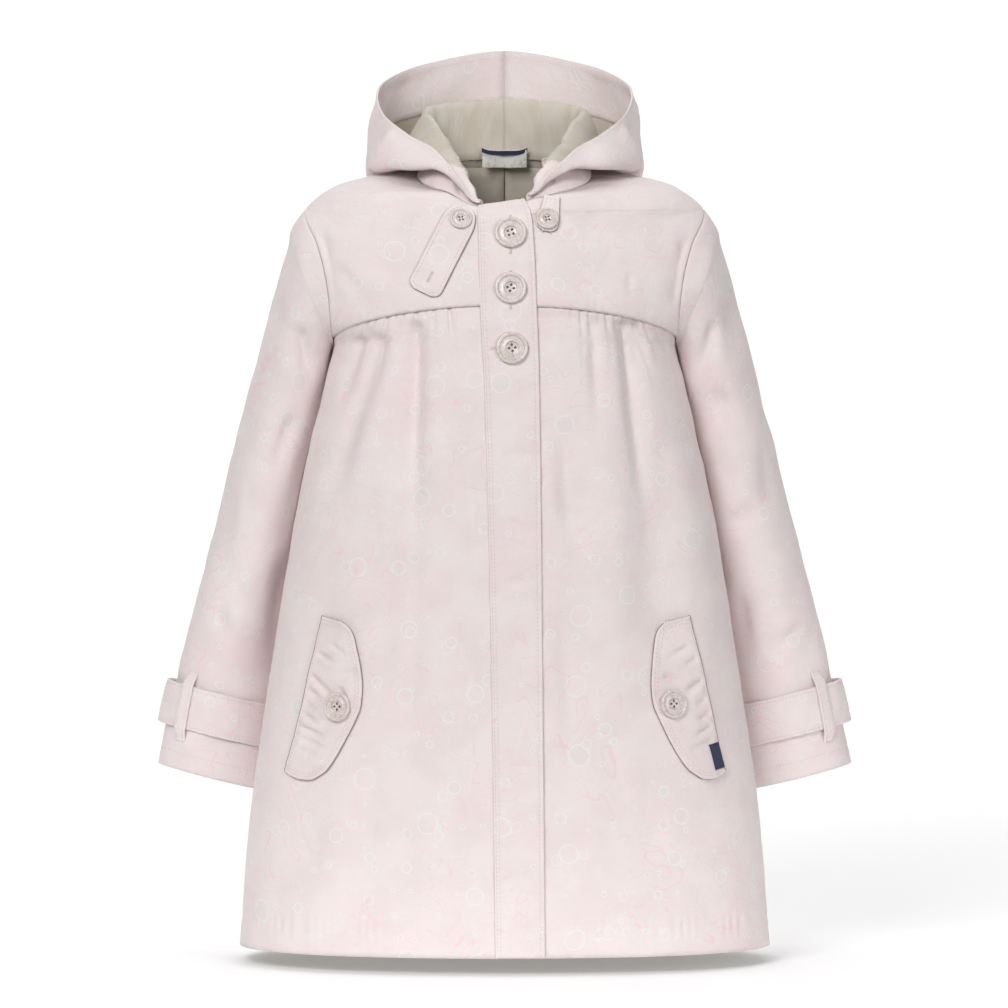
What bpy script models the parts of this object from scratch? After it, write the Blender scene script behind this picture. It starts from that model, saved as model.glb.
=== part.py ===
"""Child's long hooded raincoat, filled out as if worn. Metres, +Z up, +Y towards the back.

The origin is between the shoulders, level with the sides of the neck. +X is the wearer's left.
"""

import math

import bmesh
import bpy
import numpy as np
from mathutils import Matrix, Vector

MM = 0.001
SEAM = 0.3 * MM  # what two pieces keep between them where they are sewn
SHELL = 1.5 * MM  # outer cloth with its interlining
HOOD_CLOTH = 1.0 * MM
LINING_CLOTH = 1.0 * MM
LABEL_CLOTH = 1.0 * MM
FOLDED_CLOTH = 1.8 * MM  # straps, flaps, tabs and placket are two layers, turned
SQUARENESS = 2.3  # 2 would make every level of the body an ellipse

# The body, level by level. height is that of the side line, width the half width that the level
# would have with no armhole, armhole the half width at which the cloth stops, front and back the
# depths at the centre, drop and rise how far the centre front hangs below the side line and the
# centre back stands above it. Millimetres.
BODY_COLUMNS = ("height", "width", "armhole", "front", "back", "drop", "rise")
BODY_LEVELS = (
    (4, 64, 64, 58, 54, 19, 17),  # neck seam
    (3, 84, 84, 60, 56, 18, 14),
    (1, 105, 105, 62, 59, 16, 11),  # along the shoulder
    (-6, 127, 127, 65, 62, 14, 8),
    (-20, 145, 145, 69, 66, 10, 5),  # shoulder tip, top of the armhole
    (-45, 163, 135, 74, 70, 6, 2),
    (-75, 158, 128, 80, 74, 2, 0),
    (-102, 143, 125, 84, 77, 0, 0),
    (-122, 124, 124, 86, 78, 0, 0),  # underarm
    (-150, 130, 130, 88, 80, 0, 0),
    (-175, 136, 136, 90, 82, 0, 0),
    (-230, 149, 149, 94, 86, 0, 0),
    (-292, 160, 160, 97, 89, 0, 0),
    (-380, 174, 174, 101, 94, 0, 0),
    (-467, 186, 186, 104, 98, 0, 0),
    (-556, 193, 193, 107, 101, 0, 0),  # hem
)
NUDGE = 0.01  # step to either side when a surface's direction is taken, in shares, rings or turns
NECK_HEIGHT, HEM_HEIGHT = BODY_LEVELS[0][0] * MM, BODY_LEVELS[-1][0] * MM
TIP_HEIGHT, UNDERARM_HEIGHT = -20 * MM, -122 * MM

# The yoke seam dips from the centre towards the armholes.
YOKE_HEIGHT, YOKE_DIP, YOKE_BEND = -95 * MM, 20.5 * MM, 1.8

# Gathers under the yoke seam: where each pleat starts, as a share of the way from the centre to
# the side, how deep it is there and how far down it runs, in millimetres.
PLEAT_COLUMNS = ("share", "depth", "run")
RIGHT_PLEATS = (
    (0.25, 4.0, 110), (0.33, 3.2, 80), (0.42, 5.0, 190), (0.50, 3.5, 120), (0.58, 4.5, 220), (0.67, 3.0, 90)
)
LEFT_PLEATS = (
    (0.34, 4.2, 120), (0.46, 3.4, 90), (0.52, 4.0, 150), (0.58, 3.0, 80), (0.66, 5.0, 230), (0.74, 3.0, 120)
)
BACK_PLEATS = ((0.12, 4.0, 160), (0.30, 4.6, 220), (0.48, 4.0, 150), (0.66, 3.6, 180))
PLEAT_HALF_WIDTH = 0.032  # share of the way from centre to side
PUFF, PUFF_START, PUFF_END = 3 * MM, 14 * MM, 200 * MM  # fullness below the seam, full at its start
PLEAT_SPREAD = 300 * MM  # a pleat is twice as wide this far below the seam
PLEAT_CLEAR, PLEAT_FADE, SIDE_FADE = 0.13, 0.1, 0.08  # flat shares by the placket and the side

# Rows of the yokes above the seam, of the skirt below its gathers, and of the back's lining.
YOKE_ROWS, YOKE_LOWER = np.array([4, 2.2, -1.5, -8, -20, -45]) * MM, np.array([0.45, 1])
SKIRT_ROWS, GATHER_ROWS = np.array([-195, -250, -320, -400, -480, -556]) * MM, np.array([0, 0.14, 0.45, 1])
GATHERS_END, YOKE_GAP = -150 * MM, 2.2 * SEAM
LINING_HEIGHTS = np.array([2.5, -1, -20, -60, -100, -123, -150, -200, -280, -370, -460, -536]) * MM
LINING_INSET = SHELL + 6 * SEAM
LINING_SLACK, SLACK_FROM, SLACK_OVER = 5 * MM, -60 * MM, 60 * MM  # it hangs freer lower down
LINING_SHARES = (0.006, 0.93, 7)  # first and last column of a half, and how many
FRONT_COLUMNS, BACK_COLUMNS, BACK_YOKE_COLUMNS = 12, 7, 25
COLUMN_CLEAR = 0.022  # an even column this near a pleat's is left out
BACK_SHORT = 0.0045  # share by which the back stops short of the fronts

# The placket's two edges, height by height, in millimetres.
PLACKET_COLUMNS = ("height", "right", "left")
PLACKET_EDGES = (
    (4, -19.0, 14.0),
    (-12, -19.0, 18.5),
    (-45, -18.5, 21.0),
    (-90, -17.5, 22.7),
    (-150, -14.5, 24.6),
    (-400, -8.5, 27.2),
    (-556, -6.5, 28.6),
)
PLACKET_LIFT = FOLDED_CLOTH + 2 * SEAM  # its outer face above the front that it laps over
PLACKET_COLUMNS_ACROSS = 4
UNDERLAP = -6 * MM  # the left front runs under the placket to here
LIFT_FADE = 45 * MM  # the right front comes level with the placket over this width

# Sleeve, ring by ring below the armhole: the outermost and innermost points in the front view,
# the half depth and how far the ring sits behind the shoulders. Millimetres.
SLEEVE_COLUMNS = ("out_x", "out_z", "in_x", "in_z", "depth", "behind")
SLEEVE_RINGS = (
    (157, -44, 129, -124, 50, 1),
    (166, -73, 132, -131, 50, 4),
    (174.5, -104, 136.0, -141, 49, 8),
    (186, -146, 142.0, -162, 46, 14),
    (201.5, -204, 151.0, -219, 42, 23),
    (216.5, -263, 160.0, -279, 38, 33),
    (228.5, -307, 166.0, -324, 34, 42),
    (240, -352, 171.0, -370, 31, 50),
    (250, -392, 173.0, -411, 29, 55),
    (258, -428, 174.5, -449, 28, 58),  # cuff
)
ARMHOLE_GAP = 1.0 * MM
SLEEVE_TURNS = np.linspace(0, 2 * math.pi, 18, endpoint=False)

# Cuff straps and the loops that keep them. Places along the sleeve are ring numbers.
STRAP_TOP, STRAP_BOTTOM = 8.35, 9.16
STRAP_LIFT, STRAP_SLACK = FOLDED_CLOTH + 2 * SEAM, 4.5 * MM  # slack is along the outer edge
KEEPER_TURN, KEEPER_WIDTH, KEEPER_CLOTH = math.radians(50), 9.6 * MM, 1.0 * MM
KEEPER_STEPS = np.array([0.26, 0.09, -0.02])  # past the strap's edge: foot, bend and top
KEEPER_RISE = np.array([0, 0.8, 1])
KEEPER_GAP = 4 * SEAM
CUFF_RADIUS = 40 * MM
SLEEVE_STATIONS = np.array([0, 0.5, 1, 2, 3, 4.2, 5.7, 7.1, STRAP_TOP, STRAP_BOTTOM, 10])

# Hood, section by section round the neck from centre front (0 degrees) to centre back (180). In
# each the cloth stands up from the neck seam, rolls over a crest, falls into a hollow, bulges out
# and rises to the rim. Each point is a distance from the neck's axis and a height, millimetres.
HOOD_COLUMNS = (
    "turn", "crest_r", "crest_z", "hollow_r", "hollow_z", "bulge_r", "bulge_z", "rim_r", "rim_z"
)
HOOD_SECTIONS = (
    (12, 55.5, -10, 58.0, -10.2, 60.5, -10.8, 62.0, -9.5),
    (30, 45.5, 4, 53.0, -1.5, 60.5, -3.0, 61.0, 4.4),
    (55, 39.5, 17, 56.0, 7.0, 69.0, 6.5, 60.0, 19.0),
    (80, 41.0, 28, 73.0, 8.5, 89.0, 12.0, 71.0, 33.0),
    (105, 50.0, 43, 84.0, 10.0, 104.5, 14.0, 94.0, 53.0),
    (130, 74.0, 60, 107.0, -16.0, 125.0, 12.0, 119.0, 80.0),
    (155, 69.0, 66, 102.0, -50.0, 135.0, 6.0, 132.5, 99.0),
    (180, 62.0, 68, 101.0, -68.0, 140.0, 4.0, 140.0, 110.0),
)
FACING_WIDTH = 33 * MM  # cloth turned in along the hood's rim
HOOD_GAP = 0.7 * MM  # the hood's foot stands this far off the neck edge
HOOD_REST, HOOD_CLEAR = 2.5 * MM, 7 * MM  # its folded back part, above and beside the shoulders
HOOD_LAYER_GAP, FACING_GAP = 6 * SEAM, 9 * SEAM  # outer cloth to lining, facing to lining
LINING_FOOT_CUT = 0.08  # the lining stops this share of a row short of the neck seam
HOOD_STEPS = 30  # fine steps from one named point of a section to the next
# Columns round the neck, in degrees, and rows across the hood, as shares of the lining's and the
# facing's stretch of a section. The lining and facing start at the second column.
HOOD_TURNS = np.array([12, 23, 34, 45, 56, 68, 80, 91, 101, 111, 122, 133, 145, 157, 169, 180])
LINING_ROWS = np.array([0, 0.13, 0.24, 0.31, 0.39, 0.52, 0.61, 0.70, 0.81, 1])
FACING_ROWS = np.array([0, 0.5, 1])
FACING_MOST = 0.6  # of a section's length, where the hood is narrow
LINING_FROM = 1

# Pocket flaps: the sewn edge runs from top to bottom, the free edge stands off it by depth.
FLAP_TOP, FLAP_BOTTOM = (-130 * MM, -316 * MM), (-157 * MM, -427 * MM)
FLAP_COLUMNS = ("along", "depth", "bow")
FLAP_ROWS = (
    (0.00, 7.0, 0.0),
    (0.03, 15.0, 0.0),
    (0.06, 24.0, 0.0),
    (0.13, 30.5, 0.0),
    (0.26, 36.0, 0.0),
    (0.41, 40.0, 0.0),
    (0.56, 41.5, 0.0),
    (0.68, 39.5, 0.0),
    (0.80, 35.5, 1.0),
    (0.91, 31.0, 3.5),
    (1.00, 25.0, 7.5),
)
LEFT_FLAP_SCALE = 0.9
TAG_ROWS = ((0.81, 8.5, 0.0), (0.90, 8.5, 0.0), (0.975, 8.5, 0.0))
FLAP_LIFT, TAG_LIFT = FOLDED_CLOTH + 2 * SEAM, FOLDED_CLOTH + LABEL_CLOTH + 4 * SEAM
FLAP_COLUMNS_ACROSS, TAG_COLUMNS_ACROSS = 5, 2

# The throat tab and the little tab that carries its button: ends in x and z, and the outline as
# share of the length and the width there. Millimetres.
THROAT_TAB = ((-27.5, -25), (-58, -86))
THROAT_TAB_WIDTHS = (
    (0.0, 8), (0.03, 15), (0.09, 21), (0.2, 24.5), (0.6, 24.5), (0.9, 25), (0.965, 22), (1.0, 14)
)
BUTTON_TAB = ((34, -17), (30, -42))
BUTTON_TAB_WIDTHS = ((0.0, 11), (0.35, 13), (0.7, 15), (0.86, 14), (0.95, 10.5), (1.0, 5))
THROAT_TAB_LIFT = PLACKET_LIFT + FOLDED_CLOTH + 2 * SEAM
BUTTON_TAB_LIFT = FOLDED_CLOTH + 3 * SEAM

# Plain label and hanging loop inside the back of the neck.
TRIM_INSET = LINING_INSET + LINING_CLOTH + 5 * SEAM
LABEL_HALF, LABEL_HEIGHTS, LABEL_COLUMNS_ACROSS = 13 * MM, np.array([2.4, 0, -3]) * MM, 5
LOOP_HALF, LOOP_TOP, LOOP_SAG, LOOP_WIDTH, LOOP_COLUMNS = 17 * MM, 2.6 * MM, 3 * MM, 3 * MM, 9

# Buttons: diameter, thickness and steps round the turning; then x and z of each, millimetres.
LARGE_BUTTON, POCKET_BUTTON, SMALL_BUTTON = (24.5, 3.4, 22), (20, 3, 18), (16, 2.6, 16)
BUTTON_PROFILE = (  # as shares of the radius and the thickness, from the face round to the back
    (0, 0.62),
    (0.44, 0.60),
    (0.62, 0.72),
    (0.80, 1),
    (0.93, 0.94),
    (1, 0.60),
    (0.95, 0.18),
    (0.80, 0),
    (0, 0),
)
HOLE_RADIUS, HOLE_FROM_MIDDLE, HOLE_SIDES, HOLES = 0.085, 0.18, 8, 4  # shares of the radius
CUTTER_DEPTH, MERGE = 20 * MM, 0.01 * MM
PLACKET_BUTTONS = ((4.3, -43.7), (4.3, -83.4), (5.3, -125.8))
POCKET_BUTTONS = ((-117, -380), (118, -378))
SMALL_BUTTONS = ((-31, -34), (30.4, -33.5))

# Colours, linear, each with its roughness.
PINK, BEIGE = ((0.75, 0.68, 0.68), 0.8), ((0.52, 0.48, 0.42), 0.9)
RESIN, NAVY = ((0.72, 0.65, 0.62), 0.35), ((0.03, 0.04, 0.12), 0.8)


# ---------------------------------------------------------------- tables and curves


def columns_of(names, rows):
    """A table as one array for each named column."""
    return dict(zip(names, np.array(rows, float).T))


def smooth(xs, ys):
    """A curve through the points that never overshoots between two of them."""
    xs, ys = np.asarray(xs, float), np.asarray(ys, float)
    if xs[0] > xs[-1]:
        xs, ys = xs[::-1], ys[::-1]
    step = np.diff(xs)
    rise = np.diff(ys) / step
    slope = np.zeros_like(ys)
    slope[0], slope[-1] = rise[0], rise[-1]
    same_way = rise[:-1] * rise[1:] > 0
    first, second = 2 * step[1:] + step[:-1], step[1:] + 2 * step[:-1]
    safe = np.where(same_way, rise[:-1] * rise[1:], 1)
    before, after = np.where(same_way, rise[:-1], 1), np.where(same_way, rise[1:], 1)
    slope[1:-1] = np.where(same_way, (first + second) * safe / (first * after + second * before), 0)

    def at(x):
        x = np.clip(x, xs[0], xs[-1])
        i = np.clip(np.searchsorted(xs, x) - 1, 0, len(step) - 1)
        t = (x - xs[i]) / step[i]
        return (
            ys[i] * (1 + 2 * t) * (1 - t) ** 2
            + slope[i] * step[i] * t * (1 - t) ** 2
            + ys[i + 1] * t * t * (3 - 2 * t)
            + slope[i + 1] * step[i] * t * t * (t - 1)
        )

    return at


def curves_of(names, rows, by):
    """Each other column of a table in millimetres as a smooth curve, in metres, over column by."""
    table = columns_of(names, rows)
    along = table.pop(by)
    return {name: smooth(along, values * MM) for name, values in table.items()}


def ease(t):
    t = np.clip(t, 0, 1)
    return t * t * (3 - 2 * t)


BODY = curves_of(BODY_COLUMNS, [(row[0] * MM, *row[1:]) for row in BODY_LEVELS], "height")
PLACKET = curves_of(PLACKET_COLUMNS, [(row[0] * MM, *row[1:]) for row in PLACKET_EDGES], "height")
HOOD = curves_of(HOOD_COLUMNS, HOOD_SECTIONS, "turn")


# ---------------------------------------------------------------- the body's surface


def edge_angle(height):
    """The angle round the body at which the cloth stops: the side line, or the armhole's edge."""
    reach = np.minimum(BODY["armhole"](height) / BODY["width"](height), 1)
    return np.arcsin(reach ** (SQUARENESS / 2))


def body(share, height, side):
    """Point of the body's outer face. share runs from -1, the wearer's right edge, to 1, the left
    one, and side is "front" or "back"."""
    share, height = np.broadcast_arrays(np.asarray(share, float), np.asarray(height, float))
    angle = share * edge_angle(height)
    x = BODY["width"](height) * np.sign(angle) * np.abs(np.sin(angle)) ** (2 / SQUARENESS)
    deep = np.clip(np.cos(angle), 0, 1) ** (2 / SQUARENESS)
    if side == "front":
        return np.stack([x, -BODY["front"](height) * deep, height - BODY["drop"](height) * deep], -1)
    return np.stack([x, BODY["back"](height) * deep, height + BODY["rise"](height) * deep], -1)


def outward(share, height, side):
    """Unit normal of the body's outer face."""
    share, height = np.broadcast_arrays(np.asarray(share, float), np.asarray(height, float))
    right, left = np.maximum(share - NUDGE, -1), np.minimum(share + NUDGE, 1)
    across = body(left, height, side) - body(right, height, side)
    up_to, down_to = np.minimum(height + MM, NECK_HEIGHT), np.maximum(height - MM, HEM_HEIGHT)
    up = body(share, up_to, side) - body(share, down_to, side)
    normal = np.cross(across, up) if side == "front" else np.cross(up, across)
    return normal / np.linalg.norm(normal, axis=-1, keepdims=True)


def share_at(x, height):
    """The share at which the body's level reaches x."""
    angle = np.arcsin(np.minimum(np.abs(x) / BODY["width"](height), 1) ** (SQUARENESS / 2))
    return np.sign(x) * np.minimum(angle / edge_angle(height), 1)


def yoke_seam(share):
    return YOKE_HEIGHT - YOKE_DIP * np.abs(share) ** YOKE_BEND


def gathers(share, height, pleats, clear_of=PLEAT_CLEAR):
    """How far the gathered cloth stands in (negative) or out of the body's plain surface, from the
    share that the placket covers outwards."""
    table = columns_of(PLEAT_COLUMNS, pleats)
    below = yoke_seam(share) - height
    out = PUFF * ease(below / PUFF_START) * (1 - ease(below / PUFF_END))
    for centre, depth, run in zip(table["share"], table["depth"], table["run"]):
        dip = np.exp(-(((share - centre) / (PLEAT_HALF_WIDTH * (1 + below / PLEAT_SPREAD))) ** 2))
        out = out - depth * MM * dip * (1 - ease(below / (run * MM)))
    near_edges = ease((1 - share) / SIDE_FADE) * ease((share - clear_of) / PLEAT_FADE)
    return out * near_edges


def coat_top(x, y):
    """Height of the coat's outer face near the shoulders, at the points x, y seen from above."""
    low, high = np.full(np.shape(x), -120 * MM), np.full(np.shape(x), NECK_HEIGHT)
    for _ in range(24):
        level = (low + high) / 2
        deep = np.abs(y) / np.where(y < 0, BODY["front"](level), BODY["back"](level))
        outside = (np.abs(x) / BODY["width"](level)) ** SQUARENESS + deep**SQUARENESS > 1
        low, high = np.where(outside, low, level), np.where(outside, level, high)
    tilt = np.where(y < 0, -BODY["drop"](level), BODY["rise"](level))
    return level + tilt * np.minimum(deep, 1)


def on_front(x, z, lift=0.0):
    """Point of the front's plain surface at x and z, moved out by lift."""
    height = z
    for _ in range(6):
        share = share_at(x, height)
        height = height + z - body(share, height, "front")[..., 2]
    return body(share, height, "front") + lift * outward(share, height, "front")


# ---------------------------------------------------------------- making objects


def clear_scene():
    for obj in list(bpy.data.objects):
        bpy.data.objects.remove(obj, do_unlink=True)


def collection_of(name, hidden=False):
    made = bpy.data.collections.new(name)
    bpy.context.scene.collection.children.link(made)
    made.hide_render = hidden
    return made


def material_of(name, colour, roughness):
    made = bpy.data.materials.new(name)
    made.use_nodes = True
    shader = made.node_tree.nodes["Principled BSDF"]
    shader.inputs["Base Color"].default_value = (*colour, 1)
    shader.inputs["Roughness"].default_value = roughness
    shader.inputs["Metallic"].default_value = 0.0
    return made


def add_object(name, mesh, material):
    mesh.materials.append(material)
    made = bpy.data.objects.new(name, mesh)
    COAT.objects.link(made)
    mesh.shade_smooth()
    return made


def sheet_of(grid, around=False, split=None):
    """A sheet through a grid of points, rows by columns. It looks out where the columns of a row
    run to the left as seen from outside; around joins the last column to the first. split says
    which diagonal cuts each face in two, so that layers over each other bend alike."""
    rows, columns = grid.shape[:2]
    sheet = bmesh.new()
    points = [[sheet.verts.new(Vector(point)) for point in row] for row in grid]
    for i in range(rows - 1):
        for j in range(columns if around else columns - 1):
            k = (j + 1) % columns
            corners = points[i][j], points[i][k], points[i + 1][k], points[i + 1][j]
            if split is None:
                sheet.faces.new(corners)
                continue
            a, b, c, d = corners if split == "falling" else corners[1:] + corners[:1]
            sheet.faces.new((a, b, c))
            sheet.faces.new((a, c, d))
    sheet.normal_update()
    return sheet


def cloth(name, grid, thickness, material, around=False, split=None):
    """A wall of cloth whose outer face is the grid of points."""
    mesh = bpy.data.meshes.new(name)
    sheet = sheet_of(grid, around, split)
    sheet.to_mesh(mesh)
    sheet.free()
    made = add_object(name, mesh, material)
    wall = made.modifiers.new("thickness", "SOLIDIFY")
    wall.thickness = thickness
    wall.offset = -1
    wall.use_even_offset = False
    return made


def moved_in(grid, distance, split):
    """The grid moved by distance against the way its faces look."""
    sheet = sheet_of(grid, split=split)
    normals = np.array([vertex.normal for vertex in sheet.verts]).reshape(grid.shape)
    sheet.free()
    return grid - distance * normals


# ---------------------------------------------------------------- yokes, fronts, back, lining


def panel_columns(pleats, plain):
    """Shares of a panel's columns: evenly spread ones, and each pleat with the ridge beside it."""
    spread = np.linspace(0, 1, plain)
    if not pleats:
        return spread
    dips = columns_of(PLEAT_COLUMNS, pleats)["share"]
    folded = np.concatenate([dips, (dips[1:] + dips[:-1]) / 2])
    kept = [s for s in spread if np.abs(folded - s).min() > COLUMN_CLEAR]
    return np.sort(np.concatenate([kept, folded]))


def placket_lift(x, height):
    """The right front comes up level with the placket beside it."""
    return PLACKET_LIFT * (1 - ease((PLACKET["right"](height) - SEAM - x) / LIFT_FADE))


def front_grid(heights_of, centre_edge, pleats, wearer):
    """Rows of a front panel from its centre edge to its side. heights_of(share) gives the heights
    of a column, centre_edge(height) the x at which a row begins."""
    columns = panel_columns(pleats, FRONT_COLUMNS)
    sign = 1 if wearer == "left" else -1
    at_seam = sign * share_at(centre_edge(np.array(YOKE_HEIGHT)), YOKE_HEIGHT)
    heights = np.stack([heights_of(c) for c in at_seam + (1 - at_seam) * columns], 1)
    first = sign * share_at(centre_edge(heights), heights)
    share = first + (1 - first) * columns
    points = body(sign * share, heights, "front")
    out = gathers(share, heights, pleats) if pleats else np.zeros_like(heights)
    if wearer == "right":
        out = out + placket_lift(points[..., 0], heights)
    points = points + out[..., None] * outward(sign * share, heights, "front")
    return points if wearer == "right" else points[:, ::-1]


def yoke_heights(share):
    return np.concatenate([YOKE_ROWS, YOKE_ROWS[-1] + (yoke_seam(share) - YOKE_ROWS[-1]) * YOKE_LOWER])


def skirt_heights(share):
    seam = yoke_seam(share) - YOKE_GAP
    return np.concatenate([seam + (GATHERS_END - seam) * GATHER_ROWS, SKIRT_ROWS])


def make_fronts(cloth_material):
    centre_edge = {
        "right": lambda height: PLACKET["right"](height) - SEAM,
        "left": lambda height: np.full_like(height, UNDERLAP),
    }
    pleats = {"right": RIGHT_PLEATS, "left": LEFT_PLEATS}
    for wearer in ("left", "right"):
        edge = centre_edge[wearer]
        yoke = front_grid(yoke_heights, edge, (), wearer)
        skirt = front_grid(skirt_heights, edge, pleats[wearer], wearer)
        cloth(f"front_yoke_{wearer}", yoke, SHELL, cloth_material)
        cloth(f"front_{wearer}", skirt, SHELL, cloth_material)


def back_columns():
    half = panel_columns(BACK_PLEATS, BACK_COLUMNS)
    return np.concatenate([-half[:0:-1], half])


def back_edge(share):
    """The back stops just short of the fronts at the shoulders and side seams."""
    return share * (1 - BACK_SHORT)


def make_back(cloth_material):
    yoke_columns = np.linspace(-1, 1, BACK_YOKE_COLUMNS)
    heights = np.stack([yoke_heights(abs(c)) for c in yoke_columns], 1)
    cloth("back_yoke", body(back_edge(yoke_columns)[None], heights, "back"), SHELL, cloth_material)
    columns = back_columns()
    heights = np.stack([skirt_heights(abs(c)) for c in columns], 1)
    points = body(back_edge(columns)[None], heights, "back")
    out = gathers(np.abs(columns)[None], heights, BACK_PLEATS, clear_of=-PLEAT_FADE)
    points = points + out[..., None] * outward(back_edge(columns)[None], heights, "back")
    cloth("back", points, SHELL, cloth_material)


def make_back_lining(lining_material):
    """Two halves that meet in a centre seam, hanging inside the yoke and the back."""
    heights = LINING_HEIGHTS[:, None]
    inset = LINING_INSET + LINING_SLACK * ease((SLACK_FROM - heights) / SLACK_OVER)[..., None]
    for wearer, sign in (("left", 1), ("right", -1)):
        columns = np.linspace(*LINING_SHARES)[::sign] * sign
        points = body(columns[None], heights, "back")
        points = points - inset * outward(columns[None], heights, "back")
        cloth(f"back_lining_{wearer}", points, LINING_CLOTH, lining_material)


# ---------------------------------------------------------------- sleeves


def armhole(turn):
    """The armhole's edge on the wearer's left. turn 0 is its top, and a quarter turn its front."""
    middle, reach = (TIP_HEIGHT + UNDERARM_HEIGHT) / 2, (TIP_HEIGHT - UNDERARM_HEIGHT) / 2
    height = middle + reach * np.cos(turn)
    front, back = body(1, height, "front"), body(1, height, "back")
    return np.where((np.sin(turn) >= 0)[..., None], front, back) + (ARMHOLE_GAP, 0, 0)


def ring_curves():
    table = columns_of(SLEEVE_COLUMNS, SLEEVE_RINGS)
    along = np.arange(1, len(SLEEVE_RINGS) + 1)
    return {name: smooth(along, values * MM) for name, values in table.items()}


RINGS = ring_curves()


def ring(turn, along):
    """Point of the wearer's left sleeve on the ellipse of ring number along."""
    outer = np.stack([RINGS["out_x"](along), RINGS["behind"](along), RINGS["out_z"](along)], -1)
    inner = np.stack([RINGS["in_x"](along), RINGS["behind"](along), RINGS["in_z"](along)], -1)
    deep = np.stack([0 * along, -RINGS["depth"](along), 0 * along], -1)
    turn = turn[..., None]
    return (outer + inner) / 2 + (outer - inner) / 2 * np.cos(turn) + deep * np.sin(turn)


def sleeve(turn, along):
    """Point of the sleeve's outer face: the armhole's edge at 0, then a ring at each whole number.
    The cap leaves the armhole sideways, so x reaches the first ring sooner than y and z."""
    turn, along = np.broadcast_arrays(np.asarray(turn, float), np.asarray(along, float))
    between = np.clip(along, 0, 1)
    between = np.stack([np.sin(math.pi / 2 * between), between, between], -1)
    seam = armhole(turn)
    return seam + (ring(turn, np.maximum(along, 1)) - seam) * between


def sleeve_out(turn, along):
    """Unit normal of the sleeve's outer face."""
    around = sleeve(turn + NUDGE, along) - sleeve(turn - NUDGE, along)
    down = sleeve(turn, np.minimum(along + NUDGE, len(SLEEVE_RINGS))) - sleeve(turn, along - NUDGE)
    normal = np.cross(around, down)
    return normal / np.linalg.norm(normal, axis=-1, keepdims=True)


def both_arms(name, grid, thickness, material, around=False):
    """The same piece on both arms."""
    cloth(f"{name}_left", grid, thickness, material, around)
    cloth(f"{name}_right", grid[:, ::-1] * (-1, 1, 1), thickness, material, around)


def make_sleeves(cloth_material):
    points = sleeve(SLEEVE_TURNS[None], SLEEVE_STATIONS[:, None])
    both_arms("sleeve", points, SHELL, cloth_material, around=True)


def strap_lift(turn):
    """The strap hugs the cuff, and stands off it along the outer edge."""
    return STRAP_LIFT + STRAP_SLACK * np.clip(np.cos(turn), 0, 1) ** 4


def make_cuff_straps(cloth_material):
    stations = np.array([STRAP_TOP, STRAP_BOTTOM])
    points = sleeve(SLEEVE_TURNS[None], stations[:, None])
    lift = strap_lift(SLEEVE_TURNS)[None, :, None]
    points = points + lift * sleeve_out(SLEEVE_TURNS[None], stations[:, None])
    both_arms("cuff_strap", points, FOLDED_CLOTH, cloth_material, around=True)
    for place, middle in (("front", KEEPER_TURN), ("rear", -KEEPER_TURN)):
        half_turn = KEEPER_WIDTH / 2 / CUFF_RADIUS
        turns = middle + np.linspace(-half_turn, half_turn, 2)
        stations = np.concatenate([STRAP_TOP - KEEPER_STEPS, STRAP_BOTTOM + KEEPER_STEPS[::-1]])
        on_strap = np.concatenate([KEEPER_RISE, KEEPER_RISE[::-1]])[:, None]
        over = KEEPER_CLOTH + SEAM + (KEEPER_GAP - SEAM + strap_lift(turns)[None]) * on_strap
        points = sleeve(turns[None], stations[:, None])
        points = points + over[..., None] * sleeve_out(turns[None], stations[:, None])
        both_arms(f"strap_keeper_{place}", points, KEEPER_CLOTH, cloth_material)


# ---------------------------------------------------------------- hood


def neck_seam(turn):
    """Point of the neck seam at an angle in degrees from centre front, on the wearer's left."""
    shares = np.linspace(0, 1, 90)
    front, back = body(shares, NECK_HEIGHT, "front"), body(shares[::-1], NECK_HEIGHT, "back")
    loop = np.concatenate([front, back[1:]])
    angles = np.degrees(np.arctan2(loop[:, 0], -loop[:, 1]))
    angles[-1] = 180
    return np.stack([np.interp(turn, angles, loop[:, k]) for k in range(3)], -1)


def hood_section(turn):
    """The hood's outer face in the section at turn degrees, in fine steps from neck seam to rim."""
    seam = neck_seam(turn)
    at = {name: float(curve(turn)) for name, curve in HOOD.items()}
    knots = [(math.hypot(seam[0], seam[1]), seam[2] + HOOD_GAP)]
    knots += [(at[f"{knot}_r"], at[f"{knot}_z"]) for knot in ("crest", "hollow", "bulge", "rim")]
    profile = rounded_line(np.array(knots), np.arange((len(knots) - 1) * HOOD_STEPS + 1) / HOOD_STEPS)
    x, y = (profile[:, 0] * way for way in (math.sin(math.radians(turn)), -math.cos(math.radians(turn))))
    past_crest = np.arange(len(profile)) > HOOD_STEPS
    nearer = 1 - HOOD_CLEAR / profile[:, 0]
    resting = np.maximum(coat_top(x, y), coat_top(x * nearer, y * nearer)) + HOOD_REST
    return np.stack([x, y, np.where(past_crest, np.maximum(profile[:, 1], resting), profile[:, 1])], -1)


def rounded_line(knots, samples):
    """Points along a smooth line through the knots; samples are knot numbers, 1.5 half way
    between the second and third."""
    before = 2 * knots[:1] - knots[1:2]
    after = 2 * knots[-1:] - knots[-2:-1]
    spread = np.concatenate([before, knots, after])
    points = []
    for sample in samples:
        i = min(int(sample), len(knots) - 2)
        t = sample - i
        a, b, c, d = spread[i : i + 4]
        curve = 2 * b + (c - a) * t + (2 * a - 5 * b + 4 * c - d) * t**2 + (3 * b - a - 3 * c + d) * t**3
        points.append(curve / 2)
    return np.array(points)


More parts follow.
